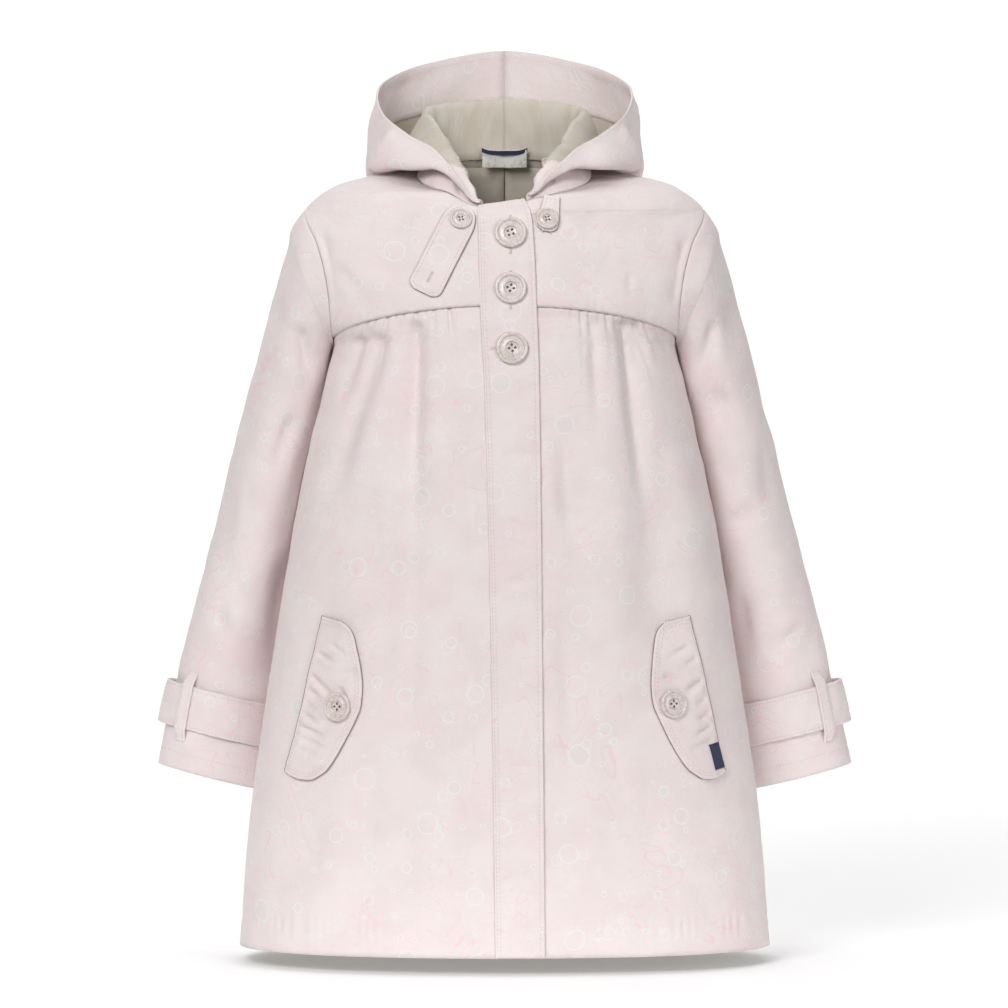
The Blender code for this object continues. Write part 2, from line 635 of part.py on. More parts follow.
def hood_rows(turn):
    """A section's points at the lining's rows and, past them, at the facing's."""
    section = hood_section(turn)
    length = np.concatenate([[0], np.cumsum(np.linalg.norm(np.diff(section, axis=0), axis=1))])
    steps = np.arange(len(section))
    turned = np.interp(length[-1] - min(FACING_WIDTH, FACING_MOST * length[-1]), length, steps)
    at = np.concatenate([turned * LINING_ROWS, turned + (steps[-1] - turned) * FACING_ROWS[1:]])
    return np.stack([np.interp(at, steps, section[:, k]) for k in range(3)], -1)


def make_hood(cloth_material, lining_material):
    """Outer shell, and inside it the lining and, along the rim, the facing: one of each a side."""
    outer = np.stack([hood_rows(turn) for turn in HOOD_TURNS], 1)
    outer[:, -1, 0] = SEAM
    inner = moved_in(outer, HOOD_CLOTH + HOOD_LAYER_GAP, "rising")[:, LINING_FROM:]
    inner[:, -1, 0] = 2 * SEAM
    turned = len(LINING_ROWS) - 1
    lining, facing = inner[: turned + 1].copy(), inner[turned:].copy()
    apart = inner[turned + 1] - inner[turned - 1]
    apart = FACING_GAP / 2 * apart / np.linalg.norm(apart, axis=-1, keepdims=True)
    lining[-1], facing[0] = lining[-1] - apart, facing[0] + apart
    lining[0] = lining[0] + LINING_FOOT_CUT * (lining[1] - lining[0])
    for wearer, mirror, step, split in (("left", 1, -1, "rising"), ("right", -1, 1, "falling")):
        for name, grid, thickness, material in (
            ("hood", outer, HOOD_CLOTH, cloth_material),
            ("hood_facing", facing, LINING_CLOTH, cloth_material),
            ("hood_lining", lining, LINING_CLOTH, lining_material),
        ):
            placed = grid[::-1, ::step] * (mirror, 1, 1)
            cloth(f"{name}_{wearer}", placed, thickness, material, split=split)


# ---------------------------------------------------------------- placket, flaps and tabs


def make_placket(cloth_material):
    heights = np.concatenate([yoke_heights(0)[:-1], skirt_heights(0)])
    across = np.linspace(0, 1, PLACKET_COLUMNS_ACROSS)
    edge_right, edge_left = PLACKET["right"](heights), PLACKET["left"](heights)
    x = edge_right[:, None] + (edge_left - edge_right)[:, None] * across
    share = share_at(x, heights[:, None])
    points = body(share, heights[:, None], "front")
    points = points + PLACKET_LIFT * outward(share, heights[:, None], "front")
    cloth("placket", points[:, ::-1], FOLDED_CLOTH, cloth_material)


def flap_grid(sign, scale, columns, rows=FLAP_ROWS, lift=FLAP_LIFT):
    """A pocket flap's outer face, from its sewn edge to its free edge."""
    table = columns_of(FLAP_COLUMNS, rows)
    top, bottom = np.array(FLAP_TOP), np.array(FLAP_BOTTOM)
    edge = bottom - top
    inwards = np.array([-edge[1], edge[0]]) / np.linalg.norm(edge)
    spread = np.linspace(0, 1, columns)
    place = top + table["along"][:, None, None] * edge
    place = place + (table["depth"] * MM * scale)[:, None, None] * spread[None, :, None] * inwards
    bowed = table["bow"][:, None] * MM * 4 * spread * (1 - spread)
    place = place + bowed[..., None] * edge / np.linalg.norm(edge)
    x, z = place[..., 0], place[..., 1]
    return on_front(-sign * x, z, lift)


def make_flaps(cloth_material, label_material):
    right = flap_grid(-1, 1, FLAP_COLUMNS_ACROSS)
    left = flap_grid(1, LEFT_FLAP_SCALE, FLAP_COLUMNS_ACROSS)
    cloth("pocket_flap_right", right[:, ::-1], FOLDED_CLOTH, cloth_material)
    cloth("pocket_flap_left", left, FOLDED_CLOTH, cloth_material)
    tag = flap_grid(1, 1, TAG_COLUMNS_ACROSS, TAG_ROWS, TAG_LIFT)
    cloth("flap_tag", tag, LABEL_CLOTH, label_material)


def strip_grid(start, end, widths, lift):
    """A strip on the front from start to end, (x, z) in millimetres. widths are rows of share of
    the length and width in millimetres; the faces look out."""
    start, end = np.array(start) * MM, np.array(end) * MM
    way = end - start
    aside = np.array([-way[1], way[0]]) / np.linalg.norm(way)
    rows = []
    for along, width in widths:
        middle = start + along * way
        edges = [middle + side * aside * width * MM / 2 for side in (-1, 0, 1)]
        rows.append([on_front(np.array(p[0]), np.array(p[1]), lift) for p in edges])
    return np.array(rows)


def make_tabs(cloth_material):
    throat = strip_grid(*THROAT_TAB, THROAT_TAB_WIDTHS, THROAT_TAB_LIFT)
    cloth("throat_tab", throat[:, ::-1], FOLDED_CLOTH, cloth_material)
    stub = strip_grid(*BUTTON_TAB, BUTTON_TAB_WIDTHS, BUTTON_TAB_LIFT)
    cloth("button_tab", stub[:, ::-1], FOLDED_CLOTH, cloth_material)


# ---------------------------------------------------------------- neck label and hanging loop


def make_neck_trim(label_material, loop_material):
    """A plain label and a hanging loop on the lining, at the back of the neck."""
    heights = LABEL_HEIGHTS[:, None]
    shares = share_at(np.linspace(-LABEL_HALF, LABEL_HALF, LABEL_COLUMNS_ACROSS), heights)
    grid = body(shares, heights, "back")
    grid = grid - TRIM_INSET * outward(shares, heights, "back")
    cloth("neck_label", grid, LABEL_CLOTH, label_material)
    across = np.linspace(-1, 1, LOOP_COLUMNS)
    upper = LOOP_TOP - LOOP_SAG * (1 - across**2)
    heights = np.stack([upper, upper - LOOP_WIDTH])
    shares = share_at(across * LOOP_HALF, heights)
    grid = body(shares, heights, "back")
    grid = grid - (TRIM_INSET + LABEL_CLOTH + 2 * SEAM) * outward(shares, heights, "back")
    cloth("hanging_loop", grid, LABEL_CLOTH, loop_material)


# ---------------------------------------------------------------- buttons


def hole_cutter(diameter):
    cutter = bmesh.new()
    radius = HOLE_RADIUS * diameter * MM / 2
    bmesh.ops.create_cone(
        cutter, cap_ends=True, segments=HOLE_SIDES, radius1=radius, radius2=radius, depth=CUTTER_DEPTH
    )
    mesh = bpy.data.meshes.new("button_hole")
    cutter.to_mesh(mesh)
    cutter.free()
    return mesh


def button_mesh(name, size):
    """A turned button with a raised rim and four holes, facing +Z from its back at 0."""
    diameter, thick, steps = size
    mesh = bpy.data.meshes.new(name)
    profile = [(x * diameter * MM / 2, 0, z * thick * MM) for x, z in BUTTON_PROFILE]
    mesh.from_pydata(profile, [(i, i + 1) for i in range(len(profile) - 1)], [])
    turned = bpy.data.objects.new(name, mesh)
    bpy.context.scene.collection.objects.link(turned)
    screw = turned.modifiers.new("turn", "SCREW")
    screw.steps = screw.render_steps = steps
    screw.use_merge_vertices = True
    screw.merge_threshold = MERGE
    hole, reach = hole_cutter(diameter), HOLE_FROM_MIDDLE * diameter * MM / 2
    for i in range(HOLES):
        corner = math.tau * (i + 0.5) / HOLES
        cutter = bpy.data.objects.new(f"{name}_hole_{i}", hole)
        CUTTERS.objects.link(cutter)
        cutter.matrix_world = Matrix.Translation((reach * math.cos(corner), reach * math.sin(corner), 0))
        cutter.hide_render = True
        cutter.display_type = "WIRE"
        cut = turned.modifiers.new(f"hole_{i}", "BOOLEAN")
        cut.operation = "DIFFERENCE"
        cut.object = cutter
    bpy.context.view_layer.update()
    finished = bpy.data.meshes.new_from_object(turned.evaluated_get(bpy.context.evaluated_depsgraph_get()))
    bpy.data.objects.remove(turned)
    finished.name = name
    return finished


def place_button(name, mesh, x, z, lift, material):
    """A button whose back lies just off the front, facing out."""
    x, z = np.array(x * MM), np.array(z * MM)
    seat = on_front(x, z, lift + SEAM)
    facing = Vector(seat - on_front(x, z, 0)).normalized()
    made = bpy.data.objects.new(name, mesh)
    COAT.objects.link(made)
    made.matrix_world = Matrix.Translation(seat) @ facing.to_track_quat("Z", "Y").to_matrix().to_4x4()
    if not mesh.materials:
        mesh.materials.append(material)
    return made


def make_buttons(button_material):
    large = button_mesh("large_button", LARGE_BUTTON)
    pocket = button_mesh("pocket_button", POCKET_BUTTON)
    small = button_mesh("small_button", SMALL_BUTTON)
    for i, (x, z) in enumerate(PLACKET_BUTTONS, 1):
        place_button(f"placket_button_{i}", large, x, z, PLACKET_LIFT + SEAM, button_material)
    for wearer, (x, z) in zip(("right", "left"), POCKET_BUTTONS):
        place_button(f"pocket_button_{wearer}", pocket, x, z, FLAP_LIFT + SEAM, button_material)
    for wearer, (x, z), lift in zip(("right", "left"), SMALL_BUTTONS, (THROAT_TAB_LIFT, BUTTON_TAB_LIFT)):
        place_button(f"throat_button_{wearer}", small, x, z, lift, button_material)


clear_scene()
COAT, CUTTERS = collection_of("long_hooded_raincoat"), collection_of("cutters", hidden=True)
outer_cloth = material_of("pale_pink_coated_cotton", *PINK)
lining_cloth = material_of("beige_lining_twill", *BEIGE)
button_resin = material_of("marbled_resin", *RESIN)
navy_tape = material_of("navy_woven_tape", *NAVY)
make_fronts(outer_cloth)
make_back(outer_cloth)
make_back_lining(lining_cloth)
make_sleeves(outer_cloth)
make_cuff_straps(outer_cloth)
make_hood(outer_cloth, lining_cloth)
make_placket(outer_cloth)
make_flaps(outer_cloth, navy_tape)
make_tabs(outer_cloth)
make_neck_trim(lining_cloth, navy_tape)
make_buttons(button_resin)
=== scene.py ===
import math

import bmesh
import bpy
import numpy as np
from mathutils import Matrix, Vector


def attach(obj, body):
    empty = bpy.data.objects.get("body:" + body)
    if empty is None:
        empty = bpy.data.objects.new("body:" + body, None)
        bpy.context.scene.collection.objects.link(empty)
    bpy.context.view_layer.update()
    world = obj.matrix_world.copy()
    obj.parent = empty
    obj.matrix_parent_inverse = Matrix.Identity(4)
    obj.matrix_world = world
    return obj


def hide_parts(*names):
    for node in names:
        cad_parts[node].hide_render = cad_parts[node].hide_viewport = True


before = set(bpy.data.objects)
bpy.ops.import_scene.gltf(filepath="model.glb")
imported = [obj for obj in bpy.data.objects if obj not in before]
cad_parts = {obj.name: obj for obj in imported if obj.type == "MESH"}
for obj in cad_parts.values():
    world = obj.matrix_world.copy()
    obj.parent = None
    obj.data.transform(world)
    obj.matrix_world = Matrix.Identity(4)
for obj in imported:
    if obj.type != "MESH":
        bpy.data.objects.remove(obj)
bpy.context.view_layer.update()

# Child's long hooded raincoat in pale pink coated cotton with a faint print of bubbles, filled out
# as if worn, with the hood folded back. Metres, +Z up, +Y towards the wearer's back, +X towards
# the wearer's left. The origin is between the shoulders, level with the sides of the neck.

MM = 0.001

# ---------------------------------------------------------------- camera, light and floor
# The coat is seen straight from the front, 3 m away and level with its middle, with a long lens.
# Large soft lamps light it evenly on white, a little more from above and the wearer's right.

CAMERA_PLACE, LENS, SENSOR = (-0.4 * MM, -3.0, -0.236), 146.8, 36.0
LAMPS = (  # name, place, what it faces, side, watts
    ("key", (-0.85, -2.1, 0.95), (0, 0, 0.0), 1.1, 34),
    ("fill", (1.3, -2.2, 0.0), (0, 0, -0.15), 0.9, 15),
    ("overhead", (0.1, -0.5, 2.1), (0, 0, -0.28), 1.6, 2),
    ("backdrop", (0, 1.2, 2.6), (0, 2.6, 0), 3.0, 42),
)
ROOM_LIGHT, PAPER_GLOW = 0.22, 0.22
FLOOR_HEIGHT = -0.568
FLOOR_SIDE, FLOOR_FRONT, WALL_AT, WALL_BEND, WALL_TOP, BEND_STEPS = 5.0, 0.31, 3.0, 1.2, 3.6, 16


def linear(code):
    """A colour given as sRGB hex, as the linear values that a shader takes."""
    parts = [int(code[i : i + 2], 16) / 255 for i in (1, 3, 5)]
    return (*[c / 12.92 if c <= 0.04045 else ((c + 0.055) / 1.055) ** 2.4 for c in parts], 1.0)


def add_node(tree, kind, inputs=None, **settings):
    """A node with its settings, and its inputs set to a value or linked from a socket."""
    node = tree.nodes.new(kind)
    for name, value in settings.items():
        setattr(node, name, value)
    for name, value in (inputs or {}).items():
        if isinstance(value, bpy.types.NodeSocket):
            tree.links.new(value, node.inputs[name])
        else:
            node.inputs[name].default_value = value
    return node


def new_material(name, colour, roughness, **inputs):
    """A material and its tree, with what is the same all over set on the shader itself."""
    made = bpy.data.materials.new(name)
    made.use_nodes = True
    shader = made.node_tree.nodes["Principled BSDF"]
    shader.inputs["Base Color"].default_value = linear(colour)
    shader.inputs["Roughness"].default_value = roughness
    for socket, value in inputs.items():
        shader.inputs[socket.replace("_", " ")].default_value = value
    return made, made.node_tree, shader


scene = bpy.context.scene
lens = bpy.data.cameras.new("photo_camera")
lens.lens, lens.sensor_width = LENS, SENSOR
camera = bpy.data.objects.new("photo_camera", lens)
camera.location, camera.rotation_euler = CAMERA_PLACE, (math.pi / 2, 0, 0)
scene.collection.objects.link(camera)
scene.camera = camera
scene.view_settings.view_transform = "Standard"
for name, place, target, size, watts in LAMPS:
    lamp = bpy.data.lights.new(name, "AREA")
    lamp.shape, lamp.size, lamp.energy = "SQUARE", size, watts
    holder = bpy.data.objects.new(name, lamp)
    holder.location = place
    holder.rotation_euler = (Vector(target) - Vector(place)).to_track_quat("-Z", "Y").to_euler()
    scene.collection.objects.link(holder)
world = bpy.data.worlds.new("white_room")
world.use_nodes = True
world.node_tree.nodes["Background"].inputs["Color"].default_value = linear("#FDFDFF")
world.node_tree.nodes["Background"].inputs["Strength"].default_value = ROOM_LIGHT
scene.world = world

# Matt white paper: it has no grain, and only the soft shade under the hem shows on it.
paper, _, _ = new_material(
    "matt_white_paper", "#FAFAFA", 0.95, Emission_Color=linear("#FFFFFF"), Emission_Strength=PAPER_GLOW
)
bend = np.linspace(0, math.pi / 2, BEND_STEPS)
run = [-FLOOR_FRONT, *(WALL_AT - WALL_BEND + WALL_BEND * np.sin(bend)), WALL_AT]
rise = [0, *(WALL_BEND * (1 - np.cos(bend))), WALL_TOP]
floor_mesh = bpy.data.meshes.new("paper_floor")
floor_mesh.from_pydata(
    [(side * FLOOR_SIDE, y, FLOOR_HEIGHT + z) for y, z in zip(run, rise) for side in (-1, 1)],
    [],
    [(2 * i, 2 * i + 1, 2 * i + 3, 2 * i + 2) for i in range(len(run) - 1)],
)
floor_mesh.materials.append(paper)
floor_mesh.shade_smooth()
floor = bpy.data.objects.new("paper_floor", floor_mesh)
scene.collection.objects.link(floor)

# ---------------------------------------------------------------- outer cloth and lining
# The coat is light cotton, plain woven, with a clear coating on its face. The print is rings of
# thin white ink, some filled with grey, over pink curls. The lining is a beige cotton twill.

PINK, PINK_SHADE, BLUSH = "#F1E6E4", "#EADCDB", "#F4DCE0"
RING_INK, FILL_INK, CURL_INK = "#EDF3F0", "#E7E3DF", "#F5D3DB"
SHADE_SIZE, BLUSH_SIZE = 38 * MM, 70 * MM
RINGS = (  # millimetres: spacing, smallest and largest radius, line; then share kept, share filled
    (46, 4.2, 7.6, 0.8, 0.62, 0.45),
    (27, 2.0, 3.8, 0.7, 0.50, 0.25),
    (16, 1.0, 1.9, 0.6, 0.35, 0.20),
)
CURL_SIZE, CURLS, CURL_LINE = 42 * MM, 6.0, 0.055  # swirl size, lines to a swirl, share inked
CREASE_SIZE = 15 * MM
THREAD_SPACING, TWILL_SPACING = 0.9 * MM, 1.1 * MM  # coarser than the real 0.3 mm, which is too
# fine to show in a photograph of the whole coat


def ramp(tree, value, low, high, start=0.0, end=1.0):
    """start below low, end above high, and smooth between."""
    return add_node(
        tree,
        "ShaderNodeMapRange",
        {"Value": value, "From Min": low, "From Max": high, "To Min": start, "To Max": end},
        interpolation_type="SMOOTHSTEP",
    ).outputs[0]


def sum_of(tree, operation, first, second=0.0):
    return add_node(tree, "ShaderNodeMath", {0: first, 1: second}, operation=operation).outputs[0]


def tint(tree, under, colour, mask, strength):
    """The colour laid over what is under it, as strongly as the mask says."""
    under = linear(under) if isinstance(under, str) else under
    share = sum_of(tree, "MULTIPLY", mask, strength)
    return add_node(tree, "ShaderNodeMix", {0: share, 6: under, 7: linear(colour)}, data_type="RGBA").outputs[2]


def noise(tree, plane, size, detail=2.0, distortion=0.0):
    inputs = {"Vector": plane, "Scale": 1 / size, "Detail": detail, "Distortion": distortion}
    return add_node(tree, "ShaderNodeTexNoise", inputs).outputs["Fac"]


def ring_masks(tree, plane, spacing, smallest, largest, line, kept, filled):
    """Where the rings' lines are, and what fills some of them: one ring, at most, to a cell."""
    inputs = {"Vector": plane, "Scale": 1 / (spacing * MM), "Randomness": 0.85}
    cell = add_node(tree, "ShaderNodeTexVoronoi", inputs, voronoi_dimensions="2D")
    lot = add_node(tree, "ShaderNodeSeparateColor", {"Color": cell.outputs["Color"]}).outputs
    radius = ramp(tree, lot["Red"], 0.0, 1.0, smallest / spacing, largest / spacing)
    off = sum_of(tree, "SUBTRACT", cell.outputs["Distance"], radius)
    line = line / spacing
    inked = ramp(tree, sum_of(tree, "ABSOLUTE", off), 0.35 * line, 0.8 * line, 1.0, 0.0)
    inside = ramp(tree, off, -1.3 * line, -0.6 * line, 1.0, 0.0)
    chosen = sum_of(tree, "LESS_THAN", lot["Green"], kept)
    full = sum_of(tree, "LESS_THAN", lot["Blue"], filled)
    fill = sum_of(tree, "MULTIPLY", sum_of(tree, "MULTIPLY", inside, chosen), full)
    return sum_of(tree, "MULTIPLY", inked, chosen), fill


def weave_bump(tree, plane, spacing, depth, shader, crease, angle=0.0):
    """Threads over and under each other, and a crinkle whose creases are up to crease deep."""
    heights = []
    for turn in (angle, angle + math.pi / 2):
        laid = add_node(tree, "ShaderNodeMapping", {"Vector": plane, "Rotation": (0, 0, turn)}).outputs[0]
        inputs = {"Vector": laid, "Scale": math.tau / 20 / spacing, "Distortion": 1.2, "Detail Scale": 3.0}
        heights.append(add_node(tree, "ShaderNodeTexWave", inputs).outputs["Fac"])
    crossed = sum_of(tree, "MULTIPLY", sum_of(tree, "MULTIPLY", *heights), depth)
    for size, share in ((CREASE_SIZE, 1.0), (CREASE_SIZE / 3, 0.35)):
        valley = sum_of(tree, "ABSOLUTE", sum_of(tree, "SUBTRACT", noise(tree, plane, size, 2.0, 0.8), 0.5))
        crossed = sum_of(tree, "ADD", crossed, sum_of(tree, "MULTIPLY", ramp(tree, valley, 0.0, 0.14), share * crease))
    bump = add_node(tree, "ShaderNodeBump", {"Height": crossed, "Distance": 1.0, "Strength": 0.8})
    tree.links.new(bump.outputs[0], shader.inputs["Normal"])


def coated_cotton(name):
    """Matt, with a slight bloom at grazing angles; the eye sees the print only from near by."""
    made, tree, shader = new_material(name, PINK, 0.66, Sheen_Weight=0.12, Specular_IOR_Level=0.3)
    plane = add_node(tree, "ShaderNodeUVMap", uv_map="cloth").outputs[0]
    colour = tint(tree, PINK, PINK_SHADE, ramp(tree, noise(tree, plane, SHADE_SIZE, 3.0), 0.40, 0.62), 0.5)
    colour = tint(tree, colour, BLUSH, ramp(tree, noise(tree, plane, BLUSH_SIZE, 4.0, 1.2), 0.50, 0.68), 0.35)
    swirl = sum_of(tree, "FRACT", sum_of(tree, "MULTIPLY", noise(tree, plane, CURL_SIZE, 1.0, 1.4), CURLS))
    off = sum_of(tree, "ABSOLUTE", sum_of(tree, "SUBTRACT", swirl, 0.5))
    curls = ramp(tree, off, CURL_LINE / 2, CURL_LINE, 1.0, 0.0)
    patch = ramp(tree, noise(tree, plane, 1.3 * CURL_SIZE), 0.48, 0.56)
    colour = tint(tree, colour, CURL_INK, sum_of(tree, "MULTIPLY", curls, patch), 0.62)
    for i, row in enumerate(RINGS):
        moved = add_node(tree, "ShaderNodeMapping", {"Vector": plane, "Location": (0.31 * i, 0.17 * i, 0)})
        inked, fill = ring_masks(tree, moved.outputs[0], *row)
        colour = tint(tree, tint(tree, colour, FILL_INK, fill, 0.5), RING_INK, inked, 0.7)
    tree.links.new(colour, shader.inputs["Base Color"])
    weave_bump(tree, plane, THREAD_SPACING, 0.08 * MM, shader, 0.17 * MM)
    return made


def lining_twill(name):
    """Dull beige, brushed soft, with fine slanting ribs."""
    made, tree, shader = new_material(name, "#D2C9BC", 0.85, Sheen_Weight=0.2, Specular_IOR_Level=0.25)
    plane = add_node(tree, "ShaderNodeUVMap", uv_map="cloth").outputs[0]
    colour = tint(tree, "#D3CBBE", "#C8BEAF", ramp(tree, noise(tree, plane, SHADE_SIZE, 3.0), 0.4, 0.65), 0.8)
    tree.links.new(colour, shader.inputs["Base Color"])
    weave_bump(tree, plane, TWILL_SPACING, 0.08 * MM, shader, 0.12 * MM, math.radians(27))
    return made


cotton = coated_cotton("pale_pink_coated_cotton_cloth")
lining = lining_twill("beige_lining_twill_cloth")

# ---------------------------------------------------------------- lower fronts
# Two panels, gathered into the yoke seam and hanging free to a 20 mm turned up hem. The wearer's
# right one ends under the placket, which is sewn on it, and the left one runs under the placket.

SQUARENESS = 2.3  # 2 would make every level of the body an ellipse
BODY_COLUMNS = ("height", "width", "armhole", "front", "back", "drop", "rise")
BODY_LEVELS = (
    (4, 64, 64, 58, 54, 19, 17),  # neck seam
    (3, 84, 84, 60, 56, 18, 14),
    (1, 105, 105, 62, 59, 16, 11),  # along the shoulder
    (-6, 127, 127, 65, 62, 14, 8),
    (-20, 145, 145, 69, 66, 10, 5),  # shoulder tip, top of the armhole
    (-45, 163, 135, 74, 70, 6, 2),
    (-75, 158, 128, 80, 74, 2, 0),
    (-102, 143, 125, 84, 77, 0, 0),
    (-122, 124, 124, 86, 78, 0, 0),  # underarm
    (-150, 130, 130, 88, 80, 0, 0),
    (-175, 136, 136, 90, 82, 0, 0),
    (-230, 149, 149, 94, 86, 0, 0),
    (-292, 160, 160, 97, 89, 0, 0),
    (-380, 174, 174, 101, 94, 0, 0),
    (-467, 186, 186, 104, 98, 0, 0),
    (-556, 193, 193, 107, 101, 0, 0),  # hem
)
NECK_HEIGHT, HEM_HEIGHT = BODY_LEVELS[0][0] * MM, BODY_LEVELS[-1][0] * MM
TIP_HEIGHT, UNDERARM_HEIGHT = -20 * MM, -122 * MM
YOKE_HEIGHT, YOKE_DIP, YOKE_BEND = -95 * MM, 20.5 * MM, 1.8
THROAT_DIP, THROAT_SLANT, THROAT_HALF, THROAT_LOW = 7.3 * MM, 0.15, 46 * MM, -40 * MM  # front of the neck
PLACKET_COLUMNS = ("height", "right", "left")
PLACKET_EDGES = (
    (4, -19.0, 14.0),
    (-12, -19.0, 18.5),
    (-45, -18.5, 21.0),
    (-90, -17.5, 22.7),
    (-150, -14.5, 24.6),
    (-400, -8.5, 27.2),
    (-556, -6.5, 28.6),
)
CLOTH, FOLDED_CLOTH, TURNED_EDGE = 1.2 * MM, 1.7 * MM, 1.1 * MM
PLACKET_LIFT, RAISED, LIFT_FADE, UNDERLAP, CALM_BESIDE = 2.4 * MM, 1.5 * MM, 45 * MM, -6 * MM, 18 * MM
HEM_DEPTH, PUFF, TUCK, YOKE_STEP, POINT_SPACING = 20 * MM, 2.0 * MM, 1.5 * MM, 0.9 * MM, 0.95 * MM
GATHER_DEEPER, FOLD_DEEPER = 1.1, 1.65  # of all the depths in the tables below
# Gathers at the yoke seam, in millimetres: x there, how far it leans outwards for each one down,
# length, depth and half width.
FRONT_GATHERS = (
    (-106, -0.40, 20, 1.2, 1.9),
    (-99, -0.34, 34, 1.9, 2.2),
    (-93, -0.28, 26, 1.7, 1.8),
    (-84.5, -0.16, 44, 2.4, 2.0),
    (-78, -0.10, 14, 1.1, 1.5),
    (-73, -0.06, 32, 1.9, 1.6),
    (-64, -0.02, 52, 2.7, 2.0),
    (-57, 0.00, 16, 1.2, 1.4),
    (-51, 0.02, 24, 1.9, 1.5),
    (-40, 0.13, 38, 2.5, 1.6),
    (47, 0.02, 12, 0.8, 1.4),
    (53.7, 0.04, 30, 1.8, 1.6),
    (59.7, 0.06, 20, 1.4, 1.5),
    (66, 0.08, 12, 0.9, 1.4),
    (71.8, 0.10, 28, 1.9, 1.6),
    (78, 0.12, 15, 1.1, 1.4),
    (84.5, 0.14, 50, 2.8, 2.1),
    (92.3, 0.28, 40, 2.6, 1.9),
    (99, 0.32, 24, 1.5, 1.8),
    (107, 0.38, 18, 1.1, 1.8),
)
# Folds, in millimetres as seen from the front: both ends, how far the middle bows to the side,
# depth (negative for a trough), half width; then the share of its length over which it comes in.
FRONT_FOLDS = (
    (-63, -104, -84, -475, 3.5, -2.8, 9.5, 0.04),
    (-63, -104, -66, -245, 0.0, -2.6, 5.5, 0.04),
    (-88, -112, -137, -262, 1.0, -4.2, 7.5, 0.06),
    (-102, -115, -124, -185, -1.0, -3.0, 4.8, 0.08),
    (-34, -180, -14.5, -345, 5.5, -2.1, 5.2, 0.35),
    (-15, -330, -44, -408, 3.0, -1.9, 6.5, 0.30),
    (-38, -305, -25, -368, 0.0, -1.2, 4.0, 0.40),
    (-21, -415, -32, -452, 0.0, -1.2, 5.0, 0.40),
    (-42, -150, -50, -300, 0.0, 1.6, 11.0, 0.40),
    (-98, -240, -106, -430, 0.0, 2.0, 15.0, 0.40),
    (-120, -300, -152, -520, 0.0, -2.0, 16.0, 0.40),
    (40, -175, 61, -306, -4.5, -2.8, 8.0, 0.35),
    (63, -104, 66, -190, 0.0, -1.8, 4.0, 0.06),
    (84.5, -102, 104, -275, 1.0, -4.4, 6.5, 0.04),
    (103, -220, 110, -395, 0.0, -2.4, 13.0, 0.40),
    (92, -106, 101, -156, 0.0, -2.0, 3.6, 0.08),
    (107, -170, 120, -290, 0.0, -2.0, 9.0, 0.40),
    (37, -300, 56, -490, 4.0, -2.6, 10.5, 0.35),
    (76, -160, 84, -450, 0.0, 2.0, 13.0, 0.35),
    (126, -190, 148, -420, 0.0, 2.4, 14.0, 0.35),
    (-46, -400, -48, -545, 0.0, 1.4, 14.0, 0.40),
    (-76, -190, -92, -400, 2.0, 1.8, 10.0, 0.35),
    (-58, -250, -70, -500, -2.0, -1.8, 9.0, 0.35),
    (-112, -420, -128, -550, 0.0, 1.6, 11.0, 0.40),
    (-92, -380, -98, -550, 0.0, -1.6, 9.0, 0.40),
    (60, -380, 66, -548, 0.0, 1.6, 11.0, 0.40),
    (100, -400, 112, -550, 0.0, -1.8, 11.0, 0.40),
)
YOKE_FOLDS = (
    (-131, -35, -118, -104, -3.0, -1.6, 5.0, 0.20),
    (-126, -62, -96, -98, 2.0, -1.0, 5.0, 0.30),
    (-120, -90, -84, -66, 2.0, 0.9, 7.0, 0.30),
    (130, -40, 117, -108, 3.0, -1.7, 5.0, 0.20),
    (127, -72, 102, -40, 0.0, -0.9, 6.0, 0.30),
    (89, -68, 90, -92, 0.0, -0.8, 2.5, 0.30),
    (-60, -24, -84, -60, 0.0, -0.7, 7.0, 0.40),
    (52, -24, 80, -58, 0.0, -0.8, 7.0, 0.40),
)


def smooth(xs, ys):
    """A curve through the points that never overshoots between two of them."""
    xs, ys = np.asarray(xs, float), np.asarray(ys, float)
    if xs[0] > xs[-1]:
        xs, ys = xs[::-1], ys[::-1]
    step = np.diff(xs)
    rise = np.diff(ys) / step
    slope = np.zeros_like(ys)
    slope[0], slope[-1] = rise[0], rise[-1]
    same_way = rise[:-1] * rise[1:] > 0
    first, second = 2 * step[1:] + step[:-1], step[1:] + 2 * step[:-1]
    before, after = np.where(same_way, rise[:-1], 1), np.where(same_way, rise[1:], 1)
    mixed = (first + second) * before * after / (first * after + second * before)
    slope[1:-1] = np.where(same_way, mixed, 0)

    def at(x):
        x = np.clip(x, xs[0], xs[-1])
        i = np.clip(np.searchsorted(xs, x) - 1, 0, len(step) - 1)
        t = (x - xs[i]) / step[i]
        return (
            ys[i] * (1 + 2 * t) * (1 - t) ** 2
            + slope[i] * step[i] * t * (1 - t) ** 2
            + ys[i + 1] * t * t * (3 - 2 * t)
            + slope[i + 1] * step[i] * t * t * (t - 1)
        )

    return at


def curves_of(names, rows, unit=MM):
    """Each other column of a table in millimetres as a smooth curve, in metres, over the first."""
    table = np.array(rows, float).T
    return {name: smooth(table[0] * unit, column * MM) for name, column in zip(names[1:], table[1:])}


def ease(t):
    t = np.clip(t, 0, 1)
    return t * t * (3 - 2 * t)


BODY, PLACKET = curves_of(BODY_COLUMNS, BODY_LEVELS), curves_of(PLACKET_COLUMNS, PLACKET_EDGES)


def edge_angle(height):
    """The angle round the body at which the cloth stops: the side line, or the armhole's edge."""
    return np.arcsin(np.minimum(BODY["armhole"](height) / BODY["width"](height), 1) ** (SQUARENESS / 2))


